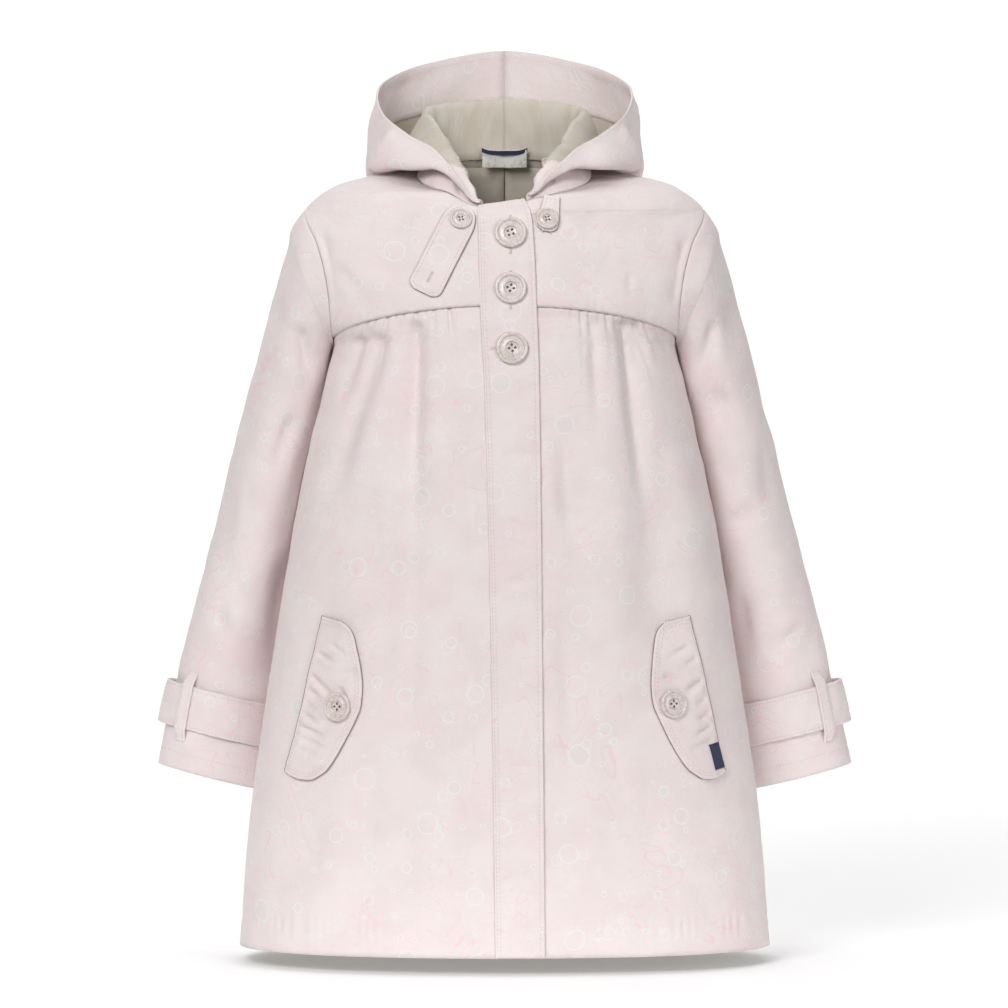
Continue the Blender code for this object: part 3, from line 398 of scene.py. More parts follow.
def throat_dip(x, height):
    """How much lower the neck's edge runs at its front, lowest on the wearer's right."""
    dip = (THROAT_DIP - THROAT_SLANT * x) * ease((THROAT_HALF - np.abs(x)) / (30 * MM))
    return dip * ease((height - THROAT_LOW) / (NECK_HEIGHT - THROAT_LOW))


def body(share, height, side):
    """Point of the body's plain face. share runs from -1, the wearer's right edge, to 1."""
    share, height = np.broadcast_arrays(np.asarray(share, float), np.asarray(height, float))
    angle = share * edge_angle(height)
    x = BODY["width"](height) * np.sign(angle) * np.abs(np.sin(angle)) ** (2 / SQUARENESS)
    deep = np.clip(np.cos(angle), 0, 1) ** (2 / SQUARENESS)
    if side == "front":
        z = height - throat_dip(x, height) - BODY["drop"](height) * deep
        return np.stack([x, -BODY["front"](height) * deep, z], -1)
    return np.stack([x, BODY["back"](height) * deep, height + BODY["rise"](height) * deep], -1)


def unit(vectors):
    return vectors / np.maximum(np.linalg.norm(vectors, axis=-1, keepdims=True), 1e-12)


def outward(share, height, side):
    """Unit normal of the body's plain face."""
    share, height = np.broadcast_arrays(np.asarray(share, float), np.asarray(height, float))
    across = body(np.minimum(share + 0.01, 1), height, side) - body(np.maximum(share - 0.01, -1), height, side)
    top, low = np.minimum(height + MM, NECK_HEIGHT), np.maximum(height - MM, HEM_HEIGHT)
    up = body(share, top, side) - body(share, low, side)
    return unit(np.cross(across, up) if side == "front" else np.cross(up, across))


def share_at(x, height):
    """The share at which the body's level reaches x."""
    angle = np.arcsin(np.minimum(np.abs(x) / BODY["width"](height), 1) ** (SQUARENESS / 2))
    return np.sign(x) * np.minimum(angle / edge_angle(height), 1)


def yoke_seam(share):
    return YOKE_HEIGHT - YOKE_DIP * np.abs(share) ** YOKE_BEND


def folds(rows, x, z):
    """How far a table of folds lifts the cloth at x and z, all in metres."""
    total = np.zeros(np.broadcast(x, z).shape)
    x, z = x / MM, z / MM
    for x0, z0, x1, z1, bow, depth, width, head in rows:
        length = math.hypot(x1 - x0, z1 - z0)
        along = ((x - x0) * (x1 - x0) + (z - z0) * (z1 - z0)) / length**2
        aside = ((z - z0) * (x1 - x0) - (x - x0) * (z1 - z0)) / length - bow * 4 * along * (1 - along)
        spread = width * (1 + 0.35 * np.clip(along, 0, 1))
        total += depth * np.exp(-((aside / spread) ** 2)) * ease(along / head) * ease((1 - along) / 0.6)
    return FOLD_DEEPER * total * MM


def gathers(rows, x, below):
    """How far a table of gathers lifts the cloth at x, so far below the seam, in metres."""
    total = np.zeros(np.broadcast(x, below).shape)
    x, below = x / MM, below / MM
    for at, lean, run, depth, width in rows:
        down = np.clip(below / (1.5 * run), 0, 1)
        aside = (x - at - lean * below) / (width * (1 + 0.8 * down))
        aside = aside / np.where(aside < 0, 0.5, 1.2)  # the cloth tips over to one side
        total -= GATHER_DEEPER * depth * np.exp(-(aside**2)) * (0.6 + 0.4 * ease(below / 6)) * (1 - down) ** 1.4
    return total * MM


def unevenness(u, v, size, seed):
    """Soft irregular swells about 1 high, with waves of about the given size."""
    draw, total = np.random.default_rng(seed), 0
    for _ in range(9):
        angle, wave, phase = draw.uniform(0, math.pi), size * draw.uniform(0.6, 1.8), draw.uniform(0, math.tau)
        total = total + np.sin((u * math.cos(angle) + v * math.sin(angle)) * math.tau / wave + phase)
    return total / 3


def sewn_line(along, off, depth=0.35 * MM, pucker=0.22 * MM, pitch=7.5 * MM):
    """The dip that a line of stitches pulls in the cloth, and the small ripples across it."""
    wave = np.sin(math.tau * along / pitch + 1.9 * np.sin(math.tau * along / (4.3 * pitch)))
    swell = 0.6 + 0.4 * np.sin(math.tau * along / (7.1 * pitch))
    return pucker * wave * swell * np.exp(-((off / (6 * MM)) ** 2)) - depth * np.exp(-((off / (1.3 * MM)) ** 2))


def rolled(off, radius=TURNED_EDGE):
    """How far a turned edge drops, so far inside it."""
    near = np.clip(radius - off, 0, radius)
    return np.sqrt(np.maximum(radius**2 - near**2, 0)) - radius


def near_edges(share):
    """Folds die away at the side seam and the armhole."""
    return ease((1 - np.abs(share)) / 0.07)


def relief(x, z, share, height, gather_rows, fold_rows, yoke_rows, seed, part, calm=1.0):
    """How far the cloth stands out of the body's plain face: a yoke above its seam, and below it
    a gathered panel with its hem. calm, from 1 to 0, holds the gathers and folds down. part is
    yoke or lower for one piece alone, and both for what shows."""
    below = yoke_seam(share) - height
    puffed = PUFF * ease(below / (24 * MM)) * (1 - ease(below / (210 * MM)))
    lower = (puffed + gathers(gather_rows, x, below) + folds(fold_rows, x, z)) * near_edges(share) * calm
    lower = lower - TUCK * (1 - ease(below / (2.6 * MM))) + sewn_line(x, height - HEM_HEIGHT - HEM_DEPTH, 0.85 * MM, 0.55 * MM)
    upper = folds(yoke_rows, x, z) * near_edges(share) + sewn_line(x, below + 3 * MM, 0.2 * MM, 0.2 * MM)
    upper = upper + YOKE_STEP * ease((below + 40 * MM) / (36 * MM)) + rolled(0.5 * MM - below, YOKE_STEP)
    side = 0.5 * MM * np.exp(-(((1 - np.abs(share)) / 0.012) ** 2))
    swell = 0.35 * unevenness(x, z, 46 * MM, seed) + 0.10 * unevenness(x, z, 13 * MM, seed + 1)
    is_lower = {"yoke": False, "lower": True, "both": below > 0}[part]
    return np.where(is_lower, lower, upper) - side + swell * MM * near_edges(share)


def front_point(share, height, lift=0.0, part="both"):
    """Point of a front's cloth, gathers and folds and all. Beside the placket it comes up level
    with it on the wearer's right, and lies flat under it."""
    share, height = np.broadcast_arrays(np.asarray(share, float), np.asarray(height, float))
    plain = body(share, height, "front")
    x, sewn, free = plain[..., 0], PLACKET["right"](height), PLACKET["left"](height)
    calm = np.where(x < sewn, ease((sewn - x) / CALM_BESIDE), ease((x - free) / CALM_BESIDE))
    out = relief(x, plain[..., 2], share, height, FRONT_GATHERS, FRONT_FOLDS, YOKE_FOLDS, 3, part, calm)
    raised = RAISED * np.where(x < sewn, 1 - ease((sewn - x) / LIFT_FADE), 1 - 0.9 * ease((x - sewn) / (3 * MM)))
    return plain + (out + raised + lift)[..., None] * outward(share, height, "front")


def back_point(share, height, lift=0.0, part="both"):
    """Point of the back's cloth, gathers and folds and all."""
    share, height = np.broadcast_arrays(np.asarray(share, float), np.asarray(height, float))
    plain = body(share, height, "back")
    out = relief(plain[..., 0], plain[..., 2], share, height, BACK_GATHERS, BACK_FOLDS, (), 13, part)
    return plain + (out + lift)[..., None] * outward(share, height, "back")


def front_panel(wearer, top, bottom, rows, part):
    """Points of a front panel from its edge at the centre to its side seam. top and bottom give
    the heights at which the column of a share starts and ends."""
    sign = 1 if wearer == "left" else -1
    count, even = int(200 * MM / POINT_SPACING), np.linspace(0, 1, rows)[:, None]
    columns, down = np.linspace(0, 1, count), even * (0.65 + 0.35 * even)  # closer near the seam

    def centre(height):
        return np.full_like(height, UNDERLAP) if wearer == "left" else PLACKET["right"](height) + 5 * MM

    at_seam = sign * share_at(centre(np.array(YOKE_HEIGHT)), YOKE_HEIGHT)
    shares = at_seam + (1 - at_seam) * columns
    heights = top(shares) + (bottom(shares) - top(shares)) * down
    first = sign * share_at(centre(heights), heights)
    points = front_point(sign * (first + (1 - first) * columns), heights, part=part)
    return points if wearer == "right" else points[:, ::-1]


def arc_lengths(grid, axis):
    """How far each point is along its row (axis 1) or column (axis 0) of the grid."""
    steps = np.linalg.norm(np.diff(grid, axis=axis), axis=-1)
    return np.concatenate([np.zeros_like(np.take(steps, [0], axis)), np.cumsum(steps, axis)], axis)


def finished_cloth(piece, node):
    """Ties a sheet to the root, and hides the CAD node that it takes the place of."""
    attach(piece, "root")
    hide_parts(node)


def printed_at(grid, shape):
    """Where each point of a grid falls on the printed cloth, in metres. On the body the print is
    level, on a tube it is square at the far end, and on a strip it follows the rows."""
    across, down = arc_lengths(grid, 1), arc_lengths(grid, 0)
    middle = grid.shape[1] // 2
    if shape == "body":
        first, last = grid[:, :1, 0], grid[:, -1:, 0]
        return np.sign(first - last) * first - arc_lengths(grid[..., :2], 1), grid[-1:, :, 2] + down[-1:] - down
    if shape == "tube":
        round_it = np.minimum(across[:, -1:], across[len(grid) // 3, -1])
        return -round_it * (np.linspace(0, 1, grid.shape[1]) - 0.5), down[-1:] - down
    return across[:, [middle]] - across, -down


def sewn_piece(name, node, grid, face, inside=None, thick=CLOTH, shape="strip", shift=(0, 0), slot=None):
    """A piece of cloth through a grid of points, rows by columns, which looks out where its rows
    run down and each row to the left as seen from outside. Its shape is body, tube or strip, and
    a tube's last column lies on its first. Its print keeps its real size along the cloth. It
    takes the place of that CAD node, which it hides."""
    rows, columns = grid.shape[:2]
    spot = np.arange(rows * columns).reshape(rows, columns)
    faces = np.stack([spot[:-1, :-1], spot[:-1, 1:], spot[1:, 1:], spot[1:, :-1]], -1).reshape(-1, 4)
    mesh = bpy.data.meshes.new(name)
    mesh.from_pydata(grid.reshape(-1, 3).tolist(), [], faces.tolist())
    across, down = arc_lengths(grid, 1), arc_lengths(grid, 0)
    flat = np.stack(printed_at(grid, shape), -1) + shift
    mesh.uv_layers.new(name="cloth").data.foreach_set("uv", flat.reshape(-1, 2)[faces.ravel()].ravel())
    if shape == "tube":
        welded = bmesh.new()
        welded.from_mesh(mesh)
        bmesh.ops.remove_doubles(welded, verts=welded.verts, dist=0.01 * MM)
        welded.to_mesh(mesh)
        welded.free()
    mesh.materials.append(face)
    mesh.materials.append(inside or face)
    mesh.shade_smooth()
    made = bpy.data.objects.new(name, mesh)
    scene.collection.objects.link(made)
    wall = made.modifiers.new("cloth_thickness", "SOLIDIFY")
    wall.thickness, wall.offset, wall.use_even_offset, wall.material_offset = thick, -1, False, 1
    slot = slot or face.name.removesuffix("_cloth")
    finished_cloth(made, node)
    return made


def all_hem(share):
    return np.full_like(share, HEM_HEIGHT)


for wearer, shift in (("left", (0.4, 0.0)), ("right", (1.1, 0.3))):
    panel = front_panel(wearer, lambda s: yoke_seam(s) + TUCK, all_hem, 140, "lower")
    sewn_piece(
        f"lower_front_{wearer}", f"front_{wearer}", panel, cotton,
        inside=lining, shape="body", shift=shift,
    )

# ---------------------------------------------------------------- thread
# Polyester thread a shade darker than the cloth, sewn as rows of single stitches. Each stitch is
# pulled into the cloth at both ends.

STITCH_PITCH, STITCH_LENGTH, THREAD_WIDTH, THREAD_RISE = 2.9 * MM, 2.1 * MM, 0.5 * MM, 0.34 * MM
HOLE_PITCH, HOLE_STITCH = 0.6 * MM, 1.5 * MM  # buttonholes are closely overcast
STITCH_SEGMENTS, STITCH_RINGS = 5, 3
STITCH_LIFT = 0.08 * MM

# Slightly glossy against the matt cloth, so a row reads as a fine dashed line.
thread, tree, shader = new_material("polyester_thread", "#E0D1D0", 0.5, Sheen_Weight=0.2)
spot = add_node(tree, "ShaderNodeTexCoord").outputs["Object"]
tree.links.new(
    tint(tree, "#E0D1D0", "#D6C5C4", ramp(tree, noise(tree, spot, 3 * MM), 0.4, 0.6), 0.7),
    shader.inputs["Base Color"],
)


def stitch_tree():
    """Geometry nodes that set a stitch at each step along the edges of a mesh."""
    tree = bpy.data.node_groups.new("row_of_stitches", "GeometryNodeTree")
    tree.interface.new_socket("Geometry", in_out="INPUT", socket_type="NodeSocketGeometry")
    for name in ("Pitch", "Length", "Width", "Rise"):
        tree.interface.new_socket(name, in_out="INPUT", socket_type="NodeSocketFloat")
    tree.interface.new_socket("Thread", in_out="INPUT", socket_type="NodeSocketMaterial")
    tree.interface.new_socket("Geometry", in_out="OUTPUT", socket_type="NodeSocketGeometry")
    given = add_node(tree, "NodeGroupInput").outputs
    line = add_node(tree, "GeometryNodeMeshToCurve", {"Mesh": given["Geometry"]}).outputs[0]
    even = add_node(tree, "GeometryNodeResampleCurve", {"Curve": line, "Length": given["Pitch"]}, mode="LENGTH")
    ball = add_node(
        tree, "GeometryNodeMeshUVSphere", {"Segments": STITCH_SEGMENTS, "Rings": STITCH_RINGS, "Radius": 0.5}
    )
    size = add_node(tree, "ShaderNodeCombineXYZ", {"X": given["Length"], "Y": given["Width"], "Z": given["Rise"]})
    stitch = add_node(tree, "GeometryNodeTransform", {"Geometry": ball.outputs[0], "Scale": size.outputs[0]})
    out = add_node(tree, "GeometryNodeInputNamedAttribute", {"Name": "out"}, data_type="FLOAT_VECTOR")
    way = add_node(tree, "GeometryNodeInputTangent").outputs[0]
    turned = add_node(
        tree, "FunctionNodeAxesToRotation", {"Primary Axis": out.outputs["Attribute"], "Secondary Axis": way},
        primary_axis="Z", secondary_axis="X",
    )
    inputs = {"Points": even.outputs[0], "Instance": stitch.outputs[0], "Rotation": turned.outputs[0]}
    laid = add_node(tree, "GeometryNodeInstanceOnPoints", inputs).outputs[0]
    whole = add_node(tree, "GeometryNodeRealizeInstances", {"Geometry": laid}).outputs[0]
    soft = add_node(tree, "GeometryNodeSetShadeSmooth", {"Geometry": whole}).outputs[0]
    inked = add_node(tree, "GeometryNodeSetMaterial", {"Geometry": soft, "Material": given["Thread"]}).outputs[0]
    add_node(tree, "NodeGroupOutput", {"Geometry": inked})
    return tree


STITCH_TREE = stitch_tree()


def sew(name, lines, pitch=STITCH_PITCH, length=STITCH_LENGTH, width=THREAD_WIDTH, rise=THREAD_RISE, of=thread):
    """Rows of stitches along lines, each given as its points and the way out of the cloth there."""
    mesh = bpy.data.meshes.new(name)
    points, outs, edges, start = [], [], [], 0
    for spots, ways in lines:
        points.append(spots + STITCH_LIFT * ways)
        outs.append(ways)
        edges += [(start + i, start + i + 1) for i in range(len(spots) - 1)]
        start += len(spots)
    mesh.from_pydata(np.concatenate(points).tolist(), edges, [])
    mesh.attributes.new("out", "FLOAT_VECTOR", "POINT").data.foreach_set("vector", np.concatenate(outs).ravel())
    guide = bpy.data.objects.new(name, mesh)
    scene.collection.objects.link(guide)
    sewing = guide.modifiers.new("sewing", "NODES")
    sewing.node_group = STITCH_TREE
    given = {"Pitch": pitch, "Length": length, "Width": width, "Rise": rise, "Thread": of}
    for item in STITCH_TREE.interface.items_tree:
        if item.in_out == "INPUT" and item.name in given:
            sewing[item.identifier] = given[item.name]
    bpy.context.view_layer.update()
    sewn = bpy.data.meshes.new_from_object(guide.evaluated_get(bpy.context.evaluated_depsgraph_get()))
    bpy.data.objects.remove(guide)
    sewn.name = name
    made = bpy.data.objects.new(name, sewn)
    scene.collection.objects.link(made)
    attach(made, "root")
    return made


hem = np.full(120, HEM_HEIGHT + HEM_DEPTH)
hem_lines = []
for share in (np.linspace(-0.998, share_at(PLACKET["right"](hem[0]), hem[0]), 120), np.linspace(share_at(UNDERLAP, hem[0]), 0.998, 120)):
    hem_lines.append((front_point(share, hem), outward(share, hem, "front")))
sew("front_hem_stitches", hem_lines)

# ---------------------------------------------------------------- front yokes
# The smooth upper fronts, from the neck and shoulder seams to the curved seam that holds the
# gathers. Each yoke's lower edge is turned in over the gathers and sewn down.


def neck_line(share):
    return np.full_like(share, NECK_HEIGHT)


for wearer, shift in (("left", (2.0, 0.0)), ("right", (2.6, 0.4))):
    panel = front_panel(wearer, neck_line, lambda s: yoke_seam(s) - 0.5 * MM, 62, "yoke")
    sewn_piece(f"yoke_{wearer}", f"front_yoke_{wearer}", panel, cotton, inside=lining, shape="body", shift=shift)

# ---------------------------------------------------------------- back and its yoke
# The back yoke is one piece over the shoulders. The back is gathered into it and has folds of its
# own, like the front's, down to the same hem.

BACK_GATHERS = (
    (-102, -0.34, 26, 1.6, 2.1),
    (-90, -0.26, 44, 2.4, 2.3),
    (-79, -0.18, 20, 1.3, 1.8),
    (-68, -0.12, 36, 2.1, 2.0),
    (-54, -0.08, 26, 1.5, 1.8),
    (-41, -0.05, 48, 2.6, 2.2),
    (-29, -0.03, 18, 1.2, 1.8),
    (-15, 0.0, 34, 1.9, 1.9),
    (2, 0.0, 22, 1.3, 1.8),
    (17, 0.02, 40, 2.3, 2.1),
    (31, 0.04, 16, 1.1, 1.8),
    (45, 0.06, 30, 1.8, 1.8),
    (58, 0.09, 50, 2.6, 2.2),
    (71, 0.14, 22, 1.4, 1.8),
    (83, 0.2, 38, 2.2, 2.1),
    (97, 0.3, 24, 1.5, 1.9),
)
BACK_FOLDS = (
    (-88, -108, -116, -300, 2.0, -3.8, 8.0, 0.05),
    (-41, -100, -50, -330, 3.0, -3.4, 8.5, 0.05),
    (17, -98, 22, -280, -3.0, -3.0, 7.5, 0.05),
    (58, -103, 74, -350, -2.0, -3.8, 8.5, 0.05),
    (96, -112, 124, -270, 0.0, -3.0, 7.0, 0.08),
    (-14, -180, -10, -420, 4.0, -2.4, 11.0, 0.35),
    (44, -260, 50, -500, -4.0, -2.4, 12.0, 0.40),
    (-76, -260, -94, -500, 4.0, -2.4, 12.0, 0.40),
    (108, -300, 124, -520, 0.0, -2.0, 13.0, 0.40),
    (-28, -150, -30, -400, 0.0, 1.8, 12.0, 0.40),
    (0, -300, 6, -540, 0.0, 1.6, 13.0, 0.40),
    (88, -200, 98, -420, 0.0, 2.0, 12.0, 0.40),
)


def back_panel(top, bottom, rows, columns, part):
    """Points of a back panel, in columns from the wearer's right side to the left."""
    share, even = np.linspace(-1, 1, columns), np.linspace(0, 1, rows)[:, None]
    height = top(share) + (bottom(share) - top(share)) * even * (0.65 + 0.35 * even)
    return back_point(share[None], height, part=part)


sewn_piece(
    "back_yoke_cloth", "back_yoke", back_panel(neck_line, lambda s: yoke_seam(s) - 0.5 * MM, 60, 150, "yoke"),
    cotton, inside=lining, shape="body", shift=(4.0, 0.0),
)
sewn_piece(
    "back_cloth", "back", back_panel(lambda s: yoke_seam(s) + TUCK, all_hem, 120, 196, "lower"),
    cotton, inside=lining, shape="body", shift=(4.9, 0.2),
)
share, hem = np.linspace(-0.998, 0.998, 240), np.full(240, HEM_HEIGHT + HEM_DEPTH)
sew("back_hem_stitches", [(back_point(share, hem), outward(share, hem, "back"))])

# ---------------------------------------------------------------- back lining
# Two halves of beige twill hang inside the back, joined by a seam down the middle, and stop short
# of the hem. They show through the neck.

LINING_INSET, LINING_END = 3.4 * MM, -536 * MM
LINING_FOLDS = (
    (-34, 4, -44, -90, 0.0, 1.4, 8.0, 0.20),
    (26, 4, 34, -110, 0.0, 1.4, 8.0, 0.20),
    (-14, -30, -18, -160, 0.0, -1.2, 8.0, 0.30),
    (12, -10, 16, -120, 0.0, -1.0, 7.0, 0.30),
    (-70, -60, -84, -300, 0.0, 2.0, 14.0, 0.30),
    (60, -60, 76, -320, 0.0, 2.0, 14.0, 0.30),
)
for wearer, sign in (("left", 1), ("right", -1)):
    share = sign * np.linspace(0.001, 0.93, 46)[None]
    height = np.linspace(2.5 * MM, LINING_END, 110)[:, None]
    plain = body(share, height, "back")
    slack = 5 * MM * ease((-60 * MM - height) / (60 * MM)) + 0 * share
    seam = 0.9 * MM * np.exp(-((plain[..., 0] / (2.2 * MM)) ** 2))
    out = folds(LINING_FOLDS, plain[..., 0], plain[..., 2]) + 0.4 * MM * unevenness(plain[..., 0], plain[..., 2], 40 * MM, 21)
    inset = LINING_INSET + slack + seam - np.minimum(out, 1.2 * MM)
    points = plain - inset[..., None] * outward(share, height, "back")
    sewn_piece(
        f"back_lining_{wearer}_cloth", f"back_lining_{wearer}", points if sign < 0 else points[:, ::-1],
        lining, thick=0.8 * MM, shape="body",
    )

# ---------------------------------------------------------------- placket
# A folded strip down the wearer's right front, sewn on with two lines of stitches at its inner
# edge and one along its free edge, which laps over the left front.

PLACKET_FOLDS = (
    (-6, -203, 26, -199, 1.0, -0.5, 3.0, 0.40),
    (-4, -246, 24, -262, 2.0, -0.9, 3.2, 0.35),
    (-3, -262, 26, -270, 0.0, -0.7, 2.6, 0.35),
    (-1, -291, 27, -288, -1.0, -1.2, 2.8, 0.35),
    (-1, -298, 24, -297, 0.0, 0.8, 3.4, 0.35),
    (-2, -335, 24, -330, 1.0, -0.6, 3.4, 0.40),
    (0, -372, 26, -378, 0.0, -0.5, 3.4, 0.40),
    (0, -424, 27, -420, 1.0, -0.6, 3.0, 0.40),
    (-2, -452, 22, -458, 0.0, -0.5, 3.4, 0.40),
    (-1, -494, 26, -491, -1.0, -1.0, 3.0, 0.35),
    (-1, -520, 26, -523, 0.0, -0.5, 3.6, 0.40),
)
PLACKET_STITCHES, FREE_STITCHES = (1.6 * MM, 3.9 * MM), 3.2 * MM


def closer_at_ends(count):
    """Shares from 0 to 1, four times closer at both ends than evenly spread."""
    even = np.linspace(0, 1, count)
    return even - 0.12 * np.sin(math.tau * even)


def placket_point(across, height, lift=0.0):
    """Point of the placket's face: across runs from 0, its sewn edge, to 1, its free one."""
    across, height = np.broadcast_arrays(np.asarray(across, float), np.asarray(height, float))
    left, right = PLACKET["left"](height), PLACKET["right"](height)
    x = right + (left - right) * across
    share = share_at(x, height)
    plain = body(share, height, "front")
    z, from_sewn, from_free = plain[..., 2], x - right, left - x
    out = sewn_line(z, from_sewn - sum(PLACKET_STITCHES) / 2) + sewn_line(z + 11 * MM, from_free - FREE_STITCHES)
    out = out + folds(PLACKET_FOLDS, x, z) * ease(from_free / (5 * MM)) + 0.16 * MM * unevenness(x, z, 18 * MM, 8)
    out = out + rolled(from_free) + 0.5 * rolled(from_sewn) + rolled(height - HEM_HEIGHT) + rolled(NECK_HEIGHT - height)
    return plain + (PLACKET_LIFT + 0.4 * MM + out + lift)[..., None] * outward(share, height, "front")


heights = np.linspace(NECK_HEIGHT, HEM_HEIGHT, 300)
strip = placket_point(closer_at_ends(30)[::-1][None], heights[:, None])
sewn_piece("placket_cloth", "placket", strip, cotton, thick=FOLDED_CLOTH, shift=(3.3, 0.1))
wide = PLACKET["left"](heights) - PLACKET["right"](heights)
placket_lines = []
for across in (*(inset / wide for inset in PLACKET_STITCHES), 1 - FREE_STITCHES / wide):
    share = share_at(PLACKET["right"](heights) + across * wide, heights)
    placket_lines.append((placket_point(across, heights), outward(share, heights, "front")))
sew("placket_stitches", placket_lines)

# ---------------------------------------------------------------- sleeves
# Each sleeve is one piece of cloth sewn into a tube and set into the armhole, with a turned up
# cuff. It hangs forward a little, bends at the elbow, and is drawn in where the strap holds it.

RING_COLUMNS = ("number", "out_x", "out_z", "in_x", "in_z", "depth", "behind")
RING_TABLE = (
    (1, 157, -44, 124.9, -124, 50, 3),
    (2, 166, -73, 125.8, -131, 50, 9),
    (3, 174.5, -104, 127.0, -141, 49, 15),
    (4, 186, -146, 131.3, -162, 46, 21),
    (5, 201.5, -204, 144.5, -219, 42, 28),
    (6, 216.5, -263, 156.0, -279, 38, 35),
    (7, 228.5, -307, 163.5, -324, 34, 42),
    (8, 240, -352, 170.0, -370, 31, 50),
    (9, 250, -392, 173.0, -411, 29, 55),
    (10, 258, -428, 174.5, -449, 28, 58),  # cuff
)
STRAP_TOP, STRAP_BOTTOM, CUFF_END, CUFF_RADIUS = 8.35, 9.16, 10, 40 * MM
CUFF_STITCHES = 9.66
SLEEVE_CLEAR, SLEEVE_YIELD = 1.0 * MM, 0.5 * MM  # off the body's side; how softly it gives way
# As the front's folds, for an arm on the wearer's left; those of the right arm are given mirrored.
ARM_FOLDS = {
    ("left", "front"): (
        (154, -100, 138, -152, 0.0, -2.6, 5.0, 0.25),
        (166, -70, 158, -128, 3.0, -1.5, 7.0, 0.30),
        (187, -172, 197, -262, 2.0, -2.2, 7.0, 0.40),
        (152, -150, 176, -196, 0.0, -2.0, 6.0, 0.30),
        (160, -255, 196, -236, 2.0, -1.6, 6.0, 0.30),
        (221, -320, 190, -348, 2.0, -2.0, 5.0, 0.35),
        (170, -292, 180, -366, 0.0, -2.2, 6.0, 0.35),
        (206, -352, 216, -300, 0.0, 1.4, 8.0, 0.30),
        (178, -400, 214, -414, 0.0, -1.0, 5.0, 0.40),
    ),
    ("left", "back"): (
        (150, -110, 142, -190, 0.0, -3.0, 7.0, 0.30),
        (158, -220, 204, -200, 0.0, -2.6, 7.0, 0.30),
        (164, -262, 208, -248, 2.0, -2.2, 6.0, 0.30),
        (176, -300, 186, -366, 0.0, -2.4, 7.0, 0.35),
        (206, -300, 222, -360, 0.0, -2.0, 6.0, 0.35),
    ),
    ("right", "front"): (
        (150, -104, 137, -158, 0.0, -2.8, 5.5, 0.25),
        (170, -60, 160, -120, 3.0, -1.4, 7.0, 0.30),
        (199, -200, 206, -292, 2.0, -2.2, 7.0, 0.40),
        (150, -165, 170, -220, 0.0, -2.0, 6.0, 0.30),
        (158, -262, 176, -374, -3.0, -3.4, 7.0, 0.30),
        (214, -310, 196, -345, 0.0, -1.4, 5.0, 0.35),
        (196, -300, 206, -366, 0.0, 1.4, 8.0, 0.35),
        (182, -404, 226, -412, 0.0, -1.0, 5.0, 0.40),
    ),
    ("right", "back"): (
        (150, -118, 146, -186, 0.0, -2.8, 7.0, 0.30),
        (160, -230, 202, -214, 0.0, -2.6, 7.0, 0.30),
        (168, -290, 210, -262, 2.0, -2.2, 6.0, 0.30),
        (180, -300, 190, -362, 0.0, -2.2, 7.0, 0.35),
    ),
}
RINGS = curves_of(RING_COLUMNS, RING_TABLE, unit=1)


def armhole(turn):
    """The armhole's edge on the wearer's left. turn 0 is its top, and a quarter turn its front."""
    middle, reach = (TIP_HEIGHT + UNDERARM_HEIGHT) / 2, (TIP_HEIGHT - UNDERARM_HEIGHT) / 2
    height = middle + reach * np.cos(turn)
    return np.where((np.sin(turn) >= 0)[..., None], body(1, height, "front"), body(1, height, "back"))


def ring(turn, along):
    """Point of the wearer's left sleeve on the ellipse of ring number along."""
    outer = np.stack([RINGS["out_x"](along), RINGS["behind"](along), RINGS["out_z"](along)], -1)
    inner = np.stack([RINGS["in_x"](along), RINGS["behind"](along), RINGS["in_z"](along)], -1)
    deep = np.stack([0 * along, -RINGS["depth"](along), 0 * along], -1)
    turn = turn[..., None]
    return (outer + inner) / 2 + (outer - inner) / 2 * np.cos(turn) + deep * np.sin(turn)


def plain_sleeve(turn, along):
    """Point of the sleeve's plain face: the armhole's edge at 0, then a ring at each number. The
    cap leaves the armhole sideways, so x reaches the first ring sooner than y and z."""
    turn, along = np.broadcast_arrays(np.asarray(turn, float), np.asarray(along, float))
    between = np.clip(along, 0, 1)
    between = np.stack([np.sin(math.pi / 2 * between), between, between], -1)
    seam = armhole(turn)
    return seam + (ring(turn, np.maximum(along, 1)) - seam) * between


def sleeve_out(turn, along):
    """Unit normal of the sleeve's plain face."""
    around = plain_sleeve(turn + 0.01, along) - plain_sleeve(turn - 0.01, along)
    down = plain_sleeve(turn, np.minimum(along + 0.01, CUFF_END)) - plain_sleeve(turn, np.maximum(along - 0.01, 0))
    return unit(np.cross(around, down))


def sleeve_relief(turn, along, wearer):
    """How far the sleeve's cloth stands out of its plain face."""
    plain = plain_sleeve(turn, along)
    x, z = plain[..., 0], plain[..., 2]
    seed = 31 if wearer == "left" else 37
    facing = np.sin(turn)
    out = 1.25 * folds(ARM_FOLDS[wearer, "front"], x, z) * ease(facing / 0.35)
    out = out + 1.25 * folds(ARM_FOLDS[wearer, "back"], x, z) * ease(-facing / 0.35)
    out = out * ease(along / 0.5) * ease((CUFF_END - along) / 0.6)
    out = out + 0.5 * MM * unevenness(x + 0.6 * plain[..., 1], z, 45 * MM, seed) * ease(along)
    seam = -0.3 * MM * np.exp(-((along / 0.06) ** 2))
    held = -0.8 * MM * np.exp(-(((along - STRAP_TOP + 0.02) / 0.12) ** 2)) * (0.6 + 0.4 * np.sin(9 * turn + seed))
    full = 0.9 * MM * np.exp(-(((along - STRAP_TOP + 0.45) / 0.28) ** 2)) * (0.5 + 0.5 * np.sin(5 * turn + seed))
    cuff = sewn_line(CUFF_RADIUS * np.mod(turn - math.pi + 1e-6, math.tau), (along - CUFF_STITCHES) * 38 * MM)
    return out + seam + held + full + cuff


